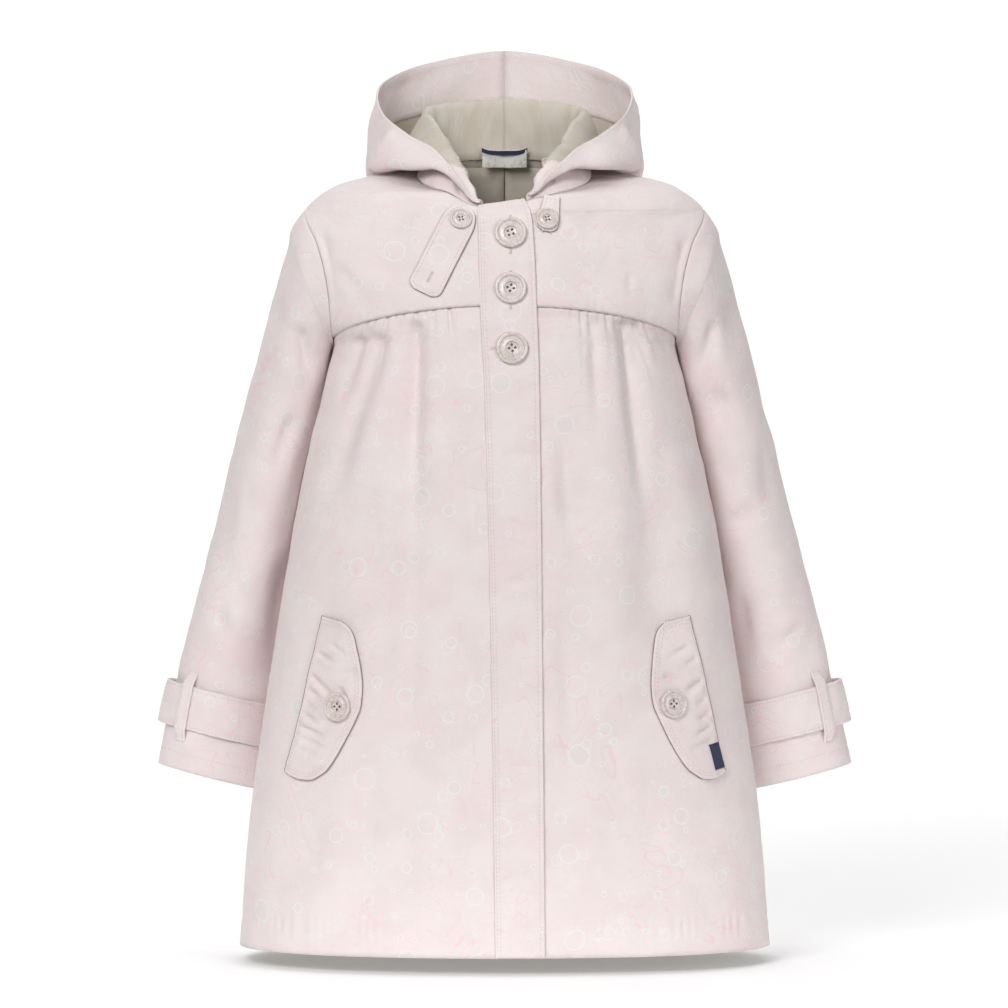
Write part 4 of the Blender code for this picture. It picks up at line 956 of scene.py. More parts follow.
def clear_of_body(points, along, wearer):
    """The sleeve's points moved out to lie just clear of the cloth at the body's side."""
    y, height = points[..., 1], np.clip(points[..., 2], HEM_HEIGHT, UNDERARM_HEIGHT)
    deep = np.minimum(np.abs(y) / np.where(y < 0, BODY["front"](height), BODY["back"](height)), 1)
    share = (1 if wearer == "left" else -1) * np.arccos(deep ** (SQUARENESS / 2)) * 2 / math.pi
    side = np.where(y < 0, front_point(share, height)[..., 0], back_point(share, height)[..., 0])
    wanting = np.abs(side) + SLEEVE_CLEAR - points[..., 0]
    moved = SLEEVE_YIELD * np.logaddexp(0, wanting / SLEEVE_YIELD) * ease((along - 0.5) / 0.5)
    return points + moved[..., None] * (1, 0, 0)


def sleeve_point(turn, along, wearer, lift=0.0):
    turn, along = np.broadcast_arrays(np.asarray(turn, float), np.asarray(along, float))
    out = sleeve_relief(turn, along, wearer) + lift
    points = plain_sleeve(turn, along) + out[..., None] * sleeve_out(turn, along)
    middle = plain_sleeve(np.array([0.5, 1.5]) * math.pi, np.zeros(2)).mean(0)
    tuck = 0.4 * TUCK * np.exp(-((along / 0.04) ** 2))[..., None]  # the head is turned in at the armhole
    return clear_of_body(points + tuck * unit(middle - points), along, wearer)


def on_arm(points, wearer):
    """The points where they are on the wearer's left, or mirrored to the right."""
    return points if wearer == "left" else points[:, ::-1] * (-1, 1, 1)


turns = math.pi + np.linspace(0, math.tau, 97)  # the tube's seam is under the arm
stations = np.concatenate([[0, 0.05, 0.1, 0.18], np.linspace(0.28, CUFF_END, 142)])
for wearer, shift in (("left", (5.8, 0.0)), ("right", (6.4, 0.3))):
    grid = on_arm(sleeve_point(turns[None], stations[:, None], wearer), wearer)
    sewn_piece(
        f"sleeve_{wearer}_cloth", f"sleeve_{wearer}", grid, cotton,
        inside=lining, shape="tube", shift=shift,
    )
    around = np.linspace(0, math.tau, 140)
    line = sleeve_point(around, CUFF_STITCHES, wearer), sleeve_out(around, np.full(140, CUFF_STITCHES))
    sew(f"cuff_stitches_{wearer}", [tuple(on_arm(part[None], wearer)[0] for part in line)])

# ---------------------------------------------------------------- cuff straps and their loops
# A folded strap goes round each cuff, stitched along both edges and hugging the sleeve apart from
# its outer side. Two narrow belt loops, in front and behind, hold it down.

STRAP_LIFT, STRAP_SLACK, STRAP_EDGE = FOLDED_CLOTH + 0.6 * MM, 4.5 * MM, 2.6 * MM
LOOP_TURN, LOOP_WIDE, LOOP_CLOTH = math.radians(50), 9.6 * MM, 1.1 * MM
LOOP_STEPS = np.array([0.26, 0.19, 0.09, 0.03, -0.02, -0.10])  # past the strap's edge, in rings
LOOP_RISE = np.array([0.0, 0.10, 0.72, 0.95, 1.0, 1.0])
LOOP_ROWS, LOOP_COLUMNS_ACROSS = 60, 11
RING_STEP = 41 * MM  # length of sleeve from one ring to the next at the cuff


def strap_lift(turn):
    """The strap hugs the cuff, and stands off it along the outer edge."""
    return STRAP_LIFT + STRAP_SLACK * np.clip(np.cos(turn), 0, 1) ** 4


def strap_point(turn, along, wearer, lift=0.0):
    turn, along = np.broadcast_arrays(np.asarray(turn, float), np.asarray(along, float))
    inside = np.minimum(along - STRAP_TOP, STRAP_BOTTOM - along) * RING_STEP
    around, plain = CUFF_RADIUS * np.mod(turn - math.pi + 1e-6, math.tau), plain_sleeve(turn, along)
    out = strap_lift(turn) + lift + rolled(inside) + sewn_line(around, inside - STRAP_EDGE, 0.25 * MM, 0.16 * MM)
    out = out + 0.3 * MM * unevenness(plain[..., 0] + plain[..., 1], plain[..., 2], 18 * MM, 41)
    return plain + out[..., None] * sleeve_out(turn, along)


def loop_point(side, row, wearer, middle, lift=0.0):
    """Point of a belt loop: side from 0 to 1 across it, row from 0, its top foot, to 1."""
    side, row = np.broadcast_arrays(np.asarray(side, float), np.asarray(row, float))
    knots = np.concatenate([STRAP_TOP - LOOP_STEPS, STRAP_BOTTOM + LOOP_STEPS[::-1]])
    steps = np.linspace(0, 1, len(knots))
    along, rise = smooth(steps, knots)(row), smooth(steps, np.concatenate([LOOP_RISE, LOOP_RISE[::-1]]))(row)
    turn = middle + (side - 0.5) * LOOP_WIDE / CUFF_RADIUS
    inside = np.minimum(side, 1 - side) * LOOP_WIDE
    out = LOOP_CLOTH + 0.2 * MM + (strap_lift(turn) + 0.5 * MM) * rise + rolled(inside, 0.8 * MM) + lift
    return plain_sleeve(turn, along) + out[..., None] * sleeve_out(turn, along)


for wearer, shift in (("left", (7.2, 0.0)), ("right", (7.7, 0.3))):
    strap_rows = STRAP_TOP + (STRAP_BOTTOM - STRAP_TOP) * closer_at_ends(22)
    grid = on_arm(strap_point(turns[None], strap_rows[:, None], wearer), wearer)
    sewn_piece(
        f"cuff_strap_{wearer}_cloth", f"cuff_strap_{wearer}", grid, cotton,
        thick=FOLDED_CLOTH, shape="tube", shift=shift,
    )
    lines = []
    for along in (STRAP_TOP + STRAP_EDGE / RING_STEP, STRAP_BOTTOM - STRAP_EDGE / RING_STEP):
        around = np.linspace(0, math.tau, 140)
        lines.append((strap_point(around, along, wearer), sleeve_out(around, np.full(140, along))))
    for place, middle in (("front", LOOP_TURN), ("rear", -LOOP_TURN)):
        side, row = closer_at_ends(LOOP_COLUMNS_ACROSS)[None], np.linspace(0, 1, LOOP_ROWS)[:, None]
        grid = on_arm(loop_point(side, row, wearer, middle), wearer)
        sewn_piece(
            f"belt_loop_{place}_{wearer}", f"strap_keeper_{place}_{wearer}", grid, cotton,
            thick=LOOP_CLOTH, shift=shift,
        )
        row = np.linspace(0.02, 0.98, 50)
        for side in (0.2, 0.8):
            points = loop_point(side, row, wearer, middle)
            turn = np.full(50, middle + (side - 0.5) * LOOP_WIDE / CUFF_RADIUS)
            lines.append((points, sleeve_out(turn, np.linspace(STRAP_TOP - 0.2, STRAP_BOTTOM + 0.2, 50))))
    sew(f"strap_stitches_{wearer}", [tuple(on_arm(part[None], wearer)[0] for part in line) for line in lines])

# ---------------------------------------------------------------- hood
# Sewn to the neck edge and folded back: it stands up round the neck, rolls over, falls behind the
# shoulders and rises again to the rim. Outer cloth outside, twill inside, and inside the rim a
# facing of outer cloth. Each is a left and a right half with a flat seam at the middle.

# Section by section round the neck from centre front (0 degrees) to centre back (180): distance
# from the neck's axis and height of each named point, in millimetres.
HOOD_COLUMNS = ("turn", "crest_r", "crest_z", "hollow_r", "hollow_z", "bulge_r", "bulge_z", "rim_r", "rim_z")
HOOD_SECTIONS = (
    (17, 57.4, -20.0, 58.6, -20.4, 60.0, -20.8, 60.8, -20.4),
    (30, 46.5, -2, 53.0, -6.5, 60.0, -8.0, 60.5, -1.5),
    (55, 39.5, 17, 56.0, 7.0, 69.0, 6.5, 60.0, 19.0),
    (80, 41.0, 28, 73.0, 8.5, 89.0, 9.5, 71.0, 33.0),
    (105, 50.0, 43, 84.0, 10.0, 105.5, 10.0, 94.0, 53.0),
    (130, 74.0, 60, 107.0, -16.0, 126.0, 9.0, 119.0, 80.0),
    (155, 69.0, 66, 102.0, -50.0, 135.0, 6.0, 132.5, 99.0),
    (180, 62.0, 68, 101.0, -68.0, 140.0, 4.0, 140.0, 110.0),
)
FACING_WIDTH, FACING_MOST = 33 * MM, 0.6  # turned in along the rim; the most of a section
HOOD_CLOTH, HOOD_GAP, HOOD_REST, HOOD_CLEAR = 1.0 * MM, 0.7 * MM, 2.5 * MM, 7 * MM
HOOD_STEPS, HOOD_COLUMNS_ROUND, LINING_ROWS, FACING_ROWS = 30, 62, 66, 20
FELLED_HALF = 4 * MM  # half the width of the flat seam down the middle
FACING_STITCHES, RIM_STITCHES = 2.2 * MM, 6 * MM
# Folds as above, but the first of each pair is the way round (1.6 mm a degree) and the second the
# distance in from the rim.
HOOD_FOLDS = (
    (150, 2, 164, 46, 2.0, 1.6, 5.0, 0.25),
    (160, 4, 178, 52, 0.0, -1.6, 4.5, 0.25),
    (186, 0, 196, 40, 0.0, 1.3, 6.0, 0.25),
    (206, 6, 214, 60, 0.0, -1.0, 7.0, 0.30),
    (236, 0, 240, 44, 0.0, 0.9, 8.0, 0.30),
    (262, 4, 268, 60, 0.0, -0.8, 8.0, 0.30),
    (40, 12, 66, 30, 0.0, -1.0, 4.0, 0.30),
    (60, 44, 84, 22, 2.0, -1.2, 4.5, 0.25),
    (96, 10, 140, 34, 0.0, 0.8, 8.0, 0.30),
    (210, 128, 214, 196, 0.0, 1.3, 8.0, 0.30),
    (232, 124, 236, 200, 0.0, -1.2, 7.0, 0.30),
    (252, 120, 256, 196, 0.0, 1.1, 7.0, 0.30),
    (270, 118, 272, 190, 0.0, -0.9, 7.0, 0.30),
)


def neck_seam(turn):
    """Point of the neck seam at an angle in degrees from centre front, on the wearer's left."""
    shares = np.linspace(0, 1, 90)
    loop = np.concatenate([body(shares, NECK_HEIGHT, "front"), body(shares[::-1], NECK_HEIGHT, "back")[1:]])
    angles = np.degrees(np.arctan2(loop[:, 0], -loop[:, 1]))
    angles[-1] = 180
    return np.stack([np.interp(turn, angles, loop[:, k]) for k in range(3)], -1)


def coat_top(x, y):
    """Height of the shoulders under a point."""
    low, high = np.full(np.shape(x), -120 * MM), np.full(np.shape(x), NECK_HEIGHT)
    for _ in range(24):
        level = (low + high) / 2
        depth = np.where(y < 0, BODY["front"](level), BODY["back"](level))
        deep = np.abs(y) / depth
        outside = (np.abs(x) / BODY["width"](level)) ** SQUARENESS + deep**SQUARENESS > 1
        low, high = np.where(outside, low, level), np.where(outside, level, high)
    tilt = np.where(y < 0, -BODY["drop"](level), BODY["rise"](level))
    return level + tilt * np.minimum(deep, 1) - np.where(y < 0, throat_dip(x, level), 0)


def rounded_line(knots, samples):
    """Points along a smooth line through the knots; samples are knot numbers, 1.5 half way
    between the second and third."""
    spread = np.concatenate([2 * knots[:1] - knots[1:2], knots, 2 * knots[-1:] - knots[-2:-1]])
    i = np.minimum(samples.astype(int), len(knots) - 2)
    t = (samples - i)[:, None]
    a, b, c, d = (spread[i + k] for k in range(4))
    return (2 * b + (c - a) * t + (2 * a - 5 * b + 4 * c - d) * t**2 + (3 * b - a - 3 * c + d) * t**3) / 2


def hood_section(turn):
    """The hood's outer face at turn degrees, in fine steps from the neck seam to the rim."""
    seam = neck_seam(turn)
    at = {name: float(curve(turn)) for name, curve in HOOD.items()}
    knots = [(math.hypot(seam[0], seam[1]), seam[2] + HOOD_GAP)]
    knots += [(at[f"{knot}_r"], at[f"{knot}_z"]) for knot in ("crest", "hollow", "bulge", "rim")]
    profile = rounded_line(np.array(knots), np.arange((len(knots) - 1) * HOOD_STEPS + 1) / HOOD_STEPS)
    x, y = (profile[:, 0] * way for way in (math.sin(math.radians(turn)), -math.cos(math.radians(turn))))
    nearer = 1 - HOOD_CLEAR / profile[:, 0]
    resting = np.maximum(coat_top(x, y), coat_top(x * nearer, y * nearer)) + HOOD_REST
    past_crest = np.arange(len(profile)) > HOOD_STEPS
    z = np.where(past_crest, np.maximum(profile[:, 1], resting), profile[:, 1])
    return np.stack([x, y, z], -1)


def faces_out(grid):
    """Unit normals of a grid that looks out."""
    return unit(np.cross(np.gradient(grid, axis=1), np.gradient(grid, axis=0)))


def along_grid(grid, outs, column, row, lift=0.0):
    """Points and normals of a grid at fractional columns and rows, both from 0 to 1."""
    column, row = np.broadcast_arrays(np.asarray(column, float), np.asarray(row, float))
    u, v = column * (grid.shape[1] - 1), row * (grid.shape[0] - 1)
    i, j = np.minimum(u.astype(int), grid.shape[1] - 2), np.minimum(v.astype(int), grid.shape[0] - 2)
    s, t = (u - i)[..., None], (v - j)[..., None]
    found = []
    for field in (grid, outs):
        upper = field[j, i] * (1 - s) + field[j, i + 1] * s
        lower = field[j + 1, i] * (1 - s) + field[j + 1, i + 1] * s
        found.append(upper * (1 - t) + lower * t)
    return found[0] + lift * unit(found[1]), unit(found[1])


# The section before the middle again past it, so that rim and crest run level across the middle.
HOOD = curves_of(HOOD_COLUMNS, (*HOOD_SECTIONS, (205, *HOOD_SECTIONS[-2][1:])), unit=1)
hood_turns = np.linspace(HOOD_SECTIONS[0][0], 180, HOOD_COLUMNS_ROUND)
columns = []
for turn in hood_turns:
    section = hood_section(turn)
    length = np.concatenate([[0], np.cumsum(np.linalg.norm(np.diff(section, axis=0), axis=1))])
    turned = length[-1] - min(FACING_WIDTH, FACING_MOST * length[-1])
    at = np.concatenate([np.linspace(0, turned, LINING_ROWS), np.linspace(turned, length[-1], FACING_ROWS + 1)[1:]])
    columns.append(np.stack([np.interp(at, length, section[:, k]) for k in range(3)], -1))
hood = np.stack(columns, 1)
hood[:, -1, 0] = 0
for _ in range(6):  # ease the corner where the cloth comes to rest on the shoulders
    hood[1:-1] = (hood[:-2] + 2 * hood[1:-1] + hood[2:]) / 4
down = arc_lengths(hood, 0)
from_rim, from_seam = down[-1] - down, down
way_round = np.broadcast_to(hood_turns * 1.6 * MM, from_rim.shape)
hood_lines = {"left": [], "right": []}
for wearer, mirror, shift in (("left", 1, (8.3, 0.0)), ("right", -1, (9.0, 0.4))):
    seed = 51 if wearer == "left" else 57
    out = folds(HOOD_FOLDS, way_round + (0 if wearer == "left" else 9 * MM), from_rim)
    out = out + 0.3 * MM * unevenness(way_round, from_rim, 34 * MM, seed)
    calm = ease(from_seam / (14 * MM)) * ease((hood_turns - HOOD_SECTIONS[0][0])[None] / 10) * ease((180 - hood_turns)[None] / 9 + 0.15)
    out = np.clip(1.3 * out * calm, -2.6 * MM, 2.6 * MM)
    out = out + sewn_line(way_round, from_rim - RIM_STITCHES, 0.15 * MM, 0.25 * MM)
    felled = hood[..., 0]
    raised = -0.5 * MM * np.exp(-((felled / (0.9 * MM)) ** 2)) - 0.25 * MM * np.exp(-(((felled - FELLED_HALF) / (1.2 * MM)) ** 2))
    outer = hood + (out + raised)[..., None] * faces_out(hood)
    outer[:, -1, 0] = 0
    outer[0] = outer[0] + (0, 0, -2 * MM) - TUCK * unit(hood[0] * (1, 1, 0))  # the foot goes into the neck seam
    outs = faces_out(outer)
    rim = rolled(from_rim, 1.2 * MM)[..., None] * outs
    inner = outer - (HOOD_CLOTH + 0.5 * MM) * outs - 0.9 * rim
    inner[:, -1, 0] = 0
    outer = outer + 0.6 * rim
    outer[:, -1, 0] = 0
    last = LINING_ROWS - 1
    facing, twill = inner[last - 1 :].copy(), inner[: last + 1].copy()
    facing[0] = facing[0] - 0.2 * MM * outs[last - 1]
    twill = twill + 0.45 * MM * outs[: last + 1] * ease((np.arange(last + 1) - last + 6) / 6)[:, None, None]

    def placed(grid):
        """Rows from the rim to the neck, and columns so that the outer face looks out. The
        wearer's right half comes further down in front, as its neck edge does."""
        if mirror > 0:
            return grid[::-1, ::-1]
        x, y = grid[..., 0], grid[..., 1]
        lower = 2 * THROAT_SLANT * x * ease((THROAT_HALF - x) / (30 * MM)) * ease(-y / (30 * MM))
        return np.stack([-x, y, grid[..., 2] - lower], -1)[::-1]

    sewn_piece(
        f"hood_{wearer}_cloth", f"hood_{wearer}", placed(outer), cotton,
        thick=HOOD_CLOTH, shift=shift,
    )
    # The inner layers are turned over, so that their good side shows inside the hood.
    for name, node, grid, cloth in (
        ("facing", "hood_facing", facing, cotton),
        ("lining", "hood_lining", twill, lining),
    ):
        sewn_piece(
            f"hood_{wearer}_{name}", f"{node}_{wearer}", placed(grid)[:, ::-1], cloth,
            thick=0.7 * MM, shift=shift,
        )
        face = placed(grid)[:, ::-1]
        ways, even = faces_out(face), np.linspace(0.01, 0.99, 150)
        wide = arc_lengths(face, 0)[-1].max()
        if name == "facing":
            hood_lines[wearer].append(along_grid(face, ways, even, RIM_STITCHES / wide))
            hood_lines[wearer].append(along_grid(face, ways, even, 1 - FACING_STITCHES / wide))
        side = 0.0 if mirror > 0 else 1.0
        for off in (0.6 * MM, FELLED_HALF + 0.8 * MM):
            middle = arc_lengths(face, 1)[:, -1].mean()
            column = np.abs(side - off / middle)
            hood_lines[wearer].append(along_grid(face, ways, column, even))
    face = placed(outer)
    ways, even = faces_out(face), np.linspace(0.02, 0.99, 150)
    hood_lines[wearer].append(along_grid(face, ways, even, RIM_STITCHES / arc_lengths(face, 0)[-1].max()))
for wearer in ("left", "right"):
    sew(f"hood_stitches_{wearer}", hood_lines[wearer])

# ---------------------------------------------------------------- pocket flaps and their tape
# Two layers of outer cloth, turned and stitched twice inside the curved free edge, sewn to the
# front along the straight edge nearer the side. A piece of navy tape is caught in the left one's
# lower end.

FLAP_TOP, FLAP_BOTTOM = (-130 * MM, -316 * MM), (-157 * MM, -427 * MM)
FLAP_COLUMNS = ("along", "depth", "bow")
FLAP_ROWS = (
    (0.000, 16.0, 0.0),
    (0.015, 21.5, 0.0),
    (0.05, 26.5, 0.0),
    (0.14, 31.8, 0.0),
    (0.26, 37.6, 0.0),
    (0.40, 42.2, 0.0),
    (0.49, 43.2, 0.0),
    (0.56, 41.9, 0.0),
    (0.68, 38.6, 0.0),
    (0.80, 34.8, 0.5),
    (0.92, 29.4, 1.5),
    (1.00, 21.0, 2.5),
)
LEFT_FLAP_SCALE = 0.9
# SEAM_LIFT, EDGE_SINK and the stitch size below are for the strips of painted shadow under the flaps' and tabs' edges.
SEAM_LIFT = 1.1 * MM
EDGE_SINK, SHADOW_STRIP_SIZE = -0.6 * MM, {"pitch": 0.9 * MM, "length": 1.7 * MM, "width": 0.8 * MM, "rise": 0.7 * MM}
FLAP_LIFT, FLAP_STITCHES = FOLDED_CLOTH + 1.0 * MM, (2.4 * MM, 4.6 * MM)
# Wrinkles across the flap: the first of each pair is the distance along the sewn edge, the second
# the distance from it.
FLAP_FOLDS = {
    "right": (
        (18, 10, 24, 30, 1.0, -0.7, 1.6, 0.25),
        (26, 2, 30, 20, 0.0, -0.9, 1.7, 0.20),
        (31, 4, 33, 26, 0.0, 0.6, 2.0, 0.25),
        (30, 36, 40, 20, 0.0, -0.7, 1.8, 0.25),
        (41, 1, 57, 32, -2.0, -1.2, 1.9, 0.15),
        (47, 3, 60, 28, -1.0, 0.9, 2.2, 0.20),
        (52, 1, 58, 16, 0.0, -0.9, 1.6, 0.20),
        (44, 24, 60, 36, 0.0, -0.8, 1.7, 0.25),
        (63, 1, 66, 14, 0.0, -0.8, 1.5, 0.20),
        (70, 1, 76, 18, 0.0, -1.0, 1.7, 0.20),
        (75, 2, 80, 20, 0.0, 0.8, 2.0, 0.20),
        (80, 1, 85, 26, 1.0, -1.0, 1.7, 0.15),
        (88, 2, 91, 30, 0.0, -0.8, 1.8, 0.20),
        (97, 4, 96, 24, 0.0, -0.6, 1.8, 0.25),
    ),
    "left": (
        (20, 4, 26, 26, 0.0, -0.8, 1.7, 0.25),
        (30, 2, 34, 16, 0.0, -0.8, 1.6, 0.20),
        (36, 32, 46, 14, 0.0, -0.9, 1.8, 0.25),
        (46, 1, 54, 20, 1.0, -1.1, 1.8, 0.20),
        (52, 2, 57, 18, 0.0, 0.8, 2.0, 0.20),
        (60, 2, 62, 14, 0.0, -0.8, 1.6, 0.25),
        (70, 1, 74, 16, 0.0, -0.9, 1.7, 0.20),
        (79, 2, 85, 22, 0.0, -1.0, 1.8, 0.20),
        (90, 3, 92, 28, 0.0, -0.8, 1.9, 0.25),
    ),
}
FLAP = curves_of(FLAP_COLUMNS, FLAP_ROWS, unit=1)
EDGE = np.array(FLAP_BOTTOM) - np.array(FLAP_TOP)
EDGE_LENGTH = float(np.linalg.norm(EDGE))
ALONG_EDGE = EDGE / EDGE_LENGTH
OFF_EDGE = np.array([-ALONG_EDGE[1], ALONG_EDGE[0]])


def height_at(x, z):
    """The height whose level passes through x and z on the plain front."""
    height = z
    for _ in range(6):
        height = height + z - body(share_at(x, height), height, "front")[..., 2]
    return height


def on_front(x, z, lift=0.0):
    """Point of the front's cloth at x and z, and the way out there."""
    height = height_at(x, z)
    share = share_at(x, height)
    return front_point(share, height, lift), outward(share, height, "front")


def gap_to(line, a, b):
    """Distance from each point (a, b) to the nearest point of a closely set line."""
    return np.sqrt(((a[..., None] - line[:, 0]) ** 2 + (b[..., None] - line[:, 1]) ** 2).min(-1))


def evenly(line, step=0.15 * MM):
    """The line again with points at even steps."""
    along = np.concatenate([[0], np.cumsum(np.linalg.norm(np.diff(line, axis=0), axis=1))])
    spots = np.linspace(0, along[-1], int(along[-1] / step))
    return np.stack([np.interp(spots, along, line[:, k]) for k in (0, 1)], -1)


def inset_line(line, off):
    """The line moved to its right by off, and thinned where it would fold over itself."""
    way = unit(np.gradient(line, axis=0))
    moved = line + off * np.stack([way[:, 1], -way[:, 0]], -1)
    return moved[gap_to(line, moved[:, 0], moved[:, 1]) > 0.93 * off]


def flap_point(wearer, scale, along, off, outline, lift=0.0):
    """Point of a flap's face, along its sewn edge and off it, and the way out there."""
    sign = 1 if wearer == "left" else -1
    place = np.array(FLAP_TOP) + along[..., None] * ALONG_EDGE + off[..., None] * OFF_EDGE
    gap = gap_to(outline, along, off)
    out = rolled(gap, 1.2 * MM) + 1.6 * rolled(off, 1.4 * MM)
    out = out + 1.7 * folds(FLAP_FOLDS[wearer], along, off / scale) * ease(gap / (4 * MM) + 0.2)
    for stitches in FLAP_STITCHES:
        out = out + sewn_line(along + off, gap - stitches, 0.22 * MM, 0.12 * MM, 6 * MM)
    out = out + 0.3 * MM * unevenness(along, off, 22 * MM, 61 if wearer == "left" else 67)
    out = out + 0.8 * MM * np.sin(math.pi * np.clip(off / (38 * MM * scale), 0, 1))
    x, z = -sign * place[..., 0], place[..., 1]
    return on_front(x, z, FLAP_LIFT + out + lift)


def flap_outline(scale):
    """The flap's free edge, from the top of its sewn edge round to the bottom of it."""
    share = closer_at_ends(500)
    depth, bow = FLAP["depth"](share) * scale, FLAP["bow"](share)
    side = np.stack([share * EDGE_LENGTH, depth], -1)
    ends = []
    for end, first in ((0, True), (-1, False)):
        off = np.linspace(0, 1, 60)[:, None]
        line = off * side[end] + (1 - off) * (side[end][0], 0)
        line[:, :1] += bow[end] * 4 * off * (1 - off)
        ends.append(line if first else line[::-1])
    return evenly(np.concatenate([ends[0][:-1], side, ends[1][1:]]))


# Painted shadow: a dark strip of thread-like stitches laid under the flaps' and tabs' edges, where their shade falls on
# the front, seen as a thin dark line.
shadow_strip_material, _, _ = new_material("shaded_edge_thread", "#A79595", 0.8)
for wearer, scale, shift in (("right", 1.0, (10.0, 0.0)), ("left", LEFT_FLAP_SCALE, (10.4, 0.2))):
    outline = flap_outline(scale)
    share, spread = closer_at_ends(130)[:, None], closer_at_ends(38)[None]
    off = FLAP["depth"](share) * scale * spread
    along = share * EDGE_LENGTH + FLAP["bow"](share) * 4 * spread * (1 - spread)
    face, _ = flap_point(wearer, scale, along, off, outline)
    sewn_piece(
        f"pocket_flap_{wearer}_cloth", f"pocket_flap_{wearer}", face[:, ::-1] if wearer == "right" else face,
        cotton, thick=FOLDED_CLOTH, shift=shift,
    )
    lines = []
    for stitches in FLAP_STITCHES:
        line = inset_line(outline, stitches)
        line = line[line[:, 1] > 1.5 * MM]
        lines.append(flap_point(wearer, scale, line[:, 0], line[:, 1], outline))
    edge = np.linspace(0.02, 0.98, 80) * EDGE_LENGTH
    lines.append(flap_point(wearer, scale, edge, np.full(80, 2.2 * MM), outline))
    sew(f"flap_stitches_{wearer}", lines)
    painted_shadow_lines = [flap_point(wearer, scale, outline[:, 0], outline[:, 1], outline, EDGE_SINK)]
    sewn = evenly(np.array([outline[-1], outline[0]]))
    painted_shadow_lines.append(flap_point(wearer, scale, sewn[:, 0], sewn[:, 1], outline, SEAM_LIFT))
    sew(f"flap_edge_thread_{wearer}", painted_shadow_lines, **SHADOW_STRIP_SIZE, of=shadow_strip_material)

TAPE_ALONG, TAPE_DEPTH, TAPE_CLOTH = (0.81, 0.975), 8.5 * MM, 0.7 * MM

# Woven tape, plain navy, with ribs across it fine enough to see only near by.
tape, tree, shader = new_material("navy_woven_tape_cloth", "#22294C", 0.75, Sheen_Weight=0.2)
plane = add_node(tree, "ShaderNodeUVMap", uv_map="cloth").outputs[0]
ribs = add_node(tree, "ShaderNodeTexWave", {"Vector": plane, "Scale": math.tau / 20 / (0.8 * MM)}, bands_direction="Y").outputs["Fac"]
tree.links.new(tint(tree, "#1E2546", "#323A63", ribs, 0.6), shader.inputs["Base Color"])
bump = add_node(tree, "ShaderNodeBump", {"Height": ribs, "Distance": 0.15 * MM, "Strength": 0.7})
tree.links.new(bump.outputs[0], shader.inputs["Normal"])

outline = flap_outline(LEFT_FLAP_SCALE)
along = np.linspace(*TAPE_ALONG, 24)[:, None] * EDGE_LENGTH
off = TAPE_DEPTH * closer_at_ends(12)[None]
along, off = np.broadcast_arrays(along, off)
inside = np.minimum(np.minimum(along - along.min(), along.max() - along), TAPE_DEPTH - off)
face, _ = flap_point("left", LEFT_FLAP_SCALE, along, off, outline, TAPE_CLOTH + 0.15 * MM + rolled(inside, 0.5 * MM))
sewn_piece("navy_tape", "flap_tag", face, tape, thick=TAPE_CLOTH)

# ---------------------------------------------------------------- throat tab and button tab
# The throat tab is a folded strip that hangs from its button on the wearer's right, with a
# buttonhole near its free end. The little tab on the left carries the button that it reaches when
# the collar is closed.

THROAT_TAB = ((-27.5, -25), (-58, -86))
THROAT_TAB_WIDTHS = ((0, 8), (0.03, 15), (0.09, 21), (0.2, 24.5), (0.6, 24.5), (0.9, 25), (0.965, 22), (1, 14))
BUTTON_TAB = ((34, -17), (30, -42))
BUTTON_TAB_WIDTHS = ((0, 11), (0.35, 13), (0.7, 15), (0.86, 14), (0.95, 10.5), (1, 5))
TAB_LIFT, TAB_STITCHES = FOLDED_CLOTH + 0.8 * MM, 2.6 * MM
TAB_HOLE = ((0.76, 0.88), 0.0)  # ends of the buttonhole as shares of the length, and its offset


class Strip:
    """A folded strip on the front, given by its ends (x, z) and its width along its length."""

    def __init__(self, ends, widths, seed):
        self.start, end = np.array(ends) * MM
        self.way = end - self.start
        self.length = float(np.linalg.norm(self.way))
        self.aside = np.array([-self.way[1], self.way[0]]) / self.length
        self.width = curves_of(("share", "width"), widths, unit=1)["width"]
        self.seed = seed
        share = closer_at_ends(300)
        half = self.width(share) / 2
        sides = [np.stack([share * self.length, side * half], -1) for side in (1, -1)]
        caps = [np.stack([np.full(40, end * self.length), np.linspace(-1, 1, 40) * self.width(end) / 2], -1) for end in (0, 1)]
        self.outline = evenly(np.concatenate([sides[1], caps[1], sides[0][::-1], caps[0][::-1]]))

    def point(self, along, off, lift=0.0):
        """Point of the strip's face, so far along it and off its middle, and the way out."""
        gap = gap_to(self.outline, along, off)
        out = rolled(gap, 1.0 * MM) + sewn_line(along + off, gap - TAB_STITCHES, 0.22 * MM, 0.12 * MM, 6 * MM)
        out = out + 0.25 * MM * unevenness(along, off, 18 * MM, self.seed)
        place = self.start + along[..., None] * self.way / self.length + off[..., None] * self.aside
        return on_front(place[..., 0], place[..., 1], TAB_LIFT + out + lift)


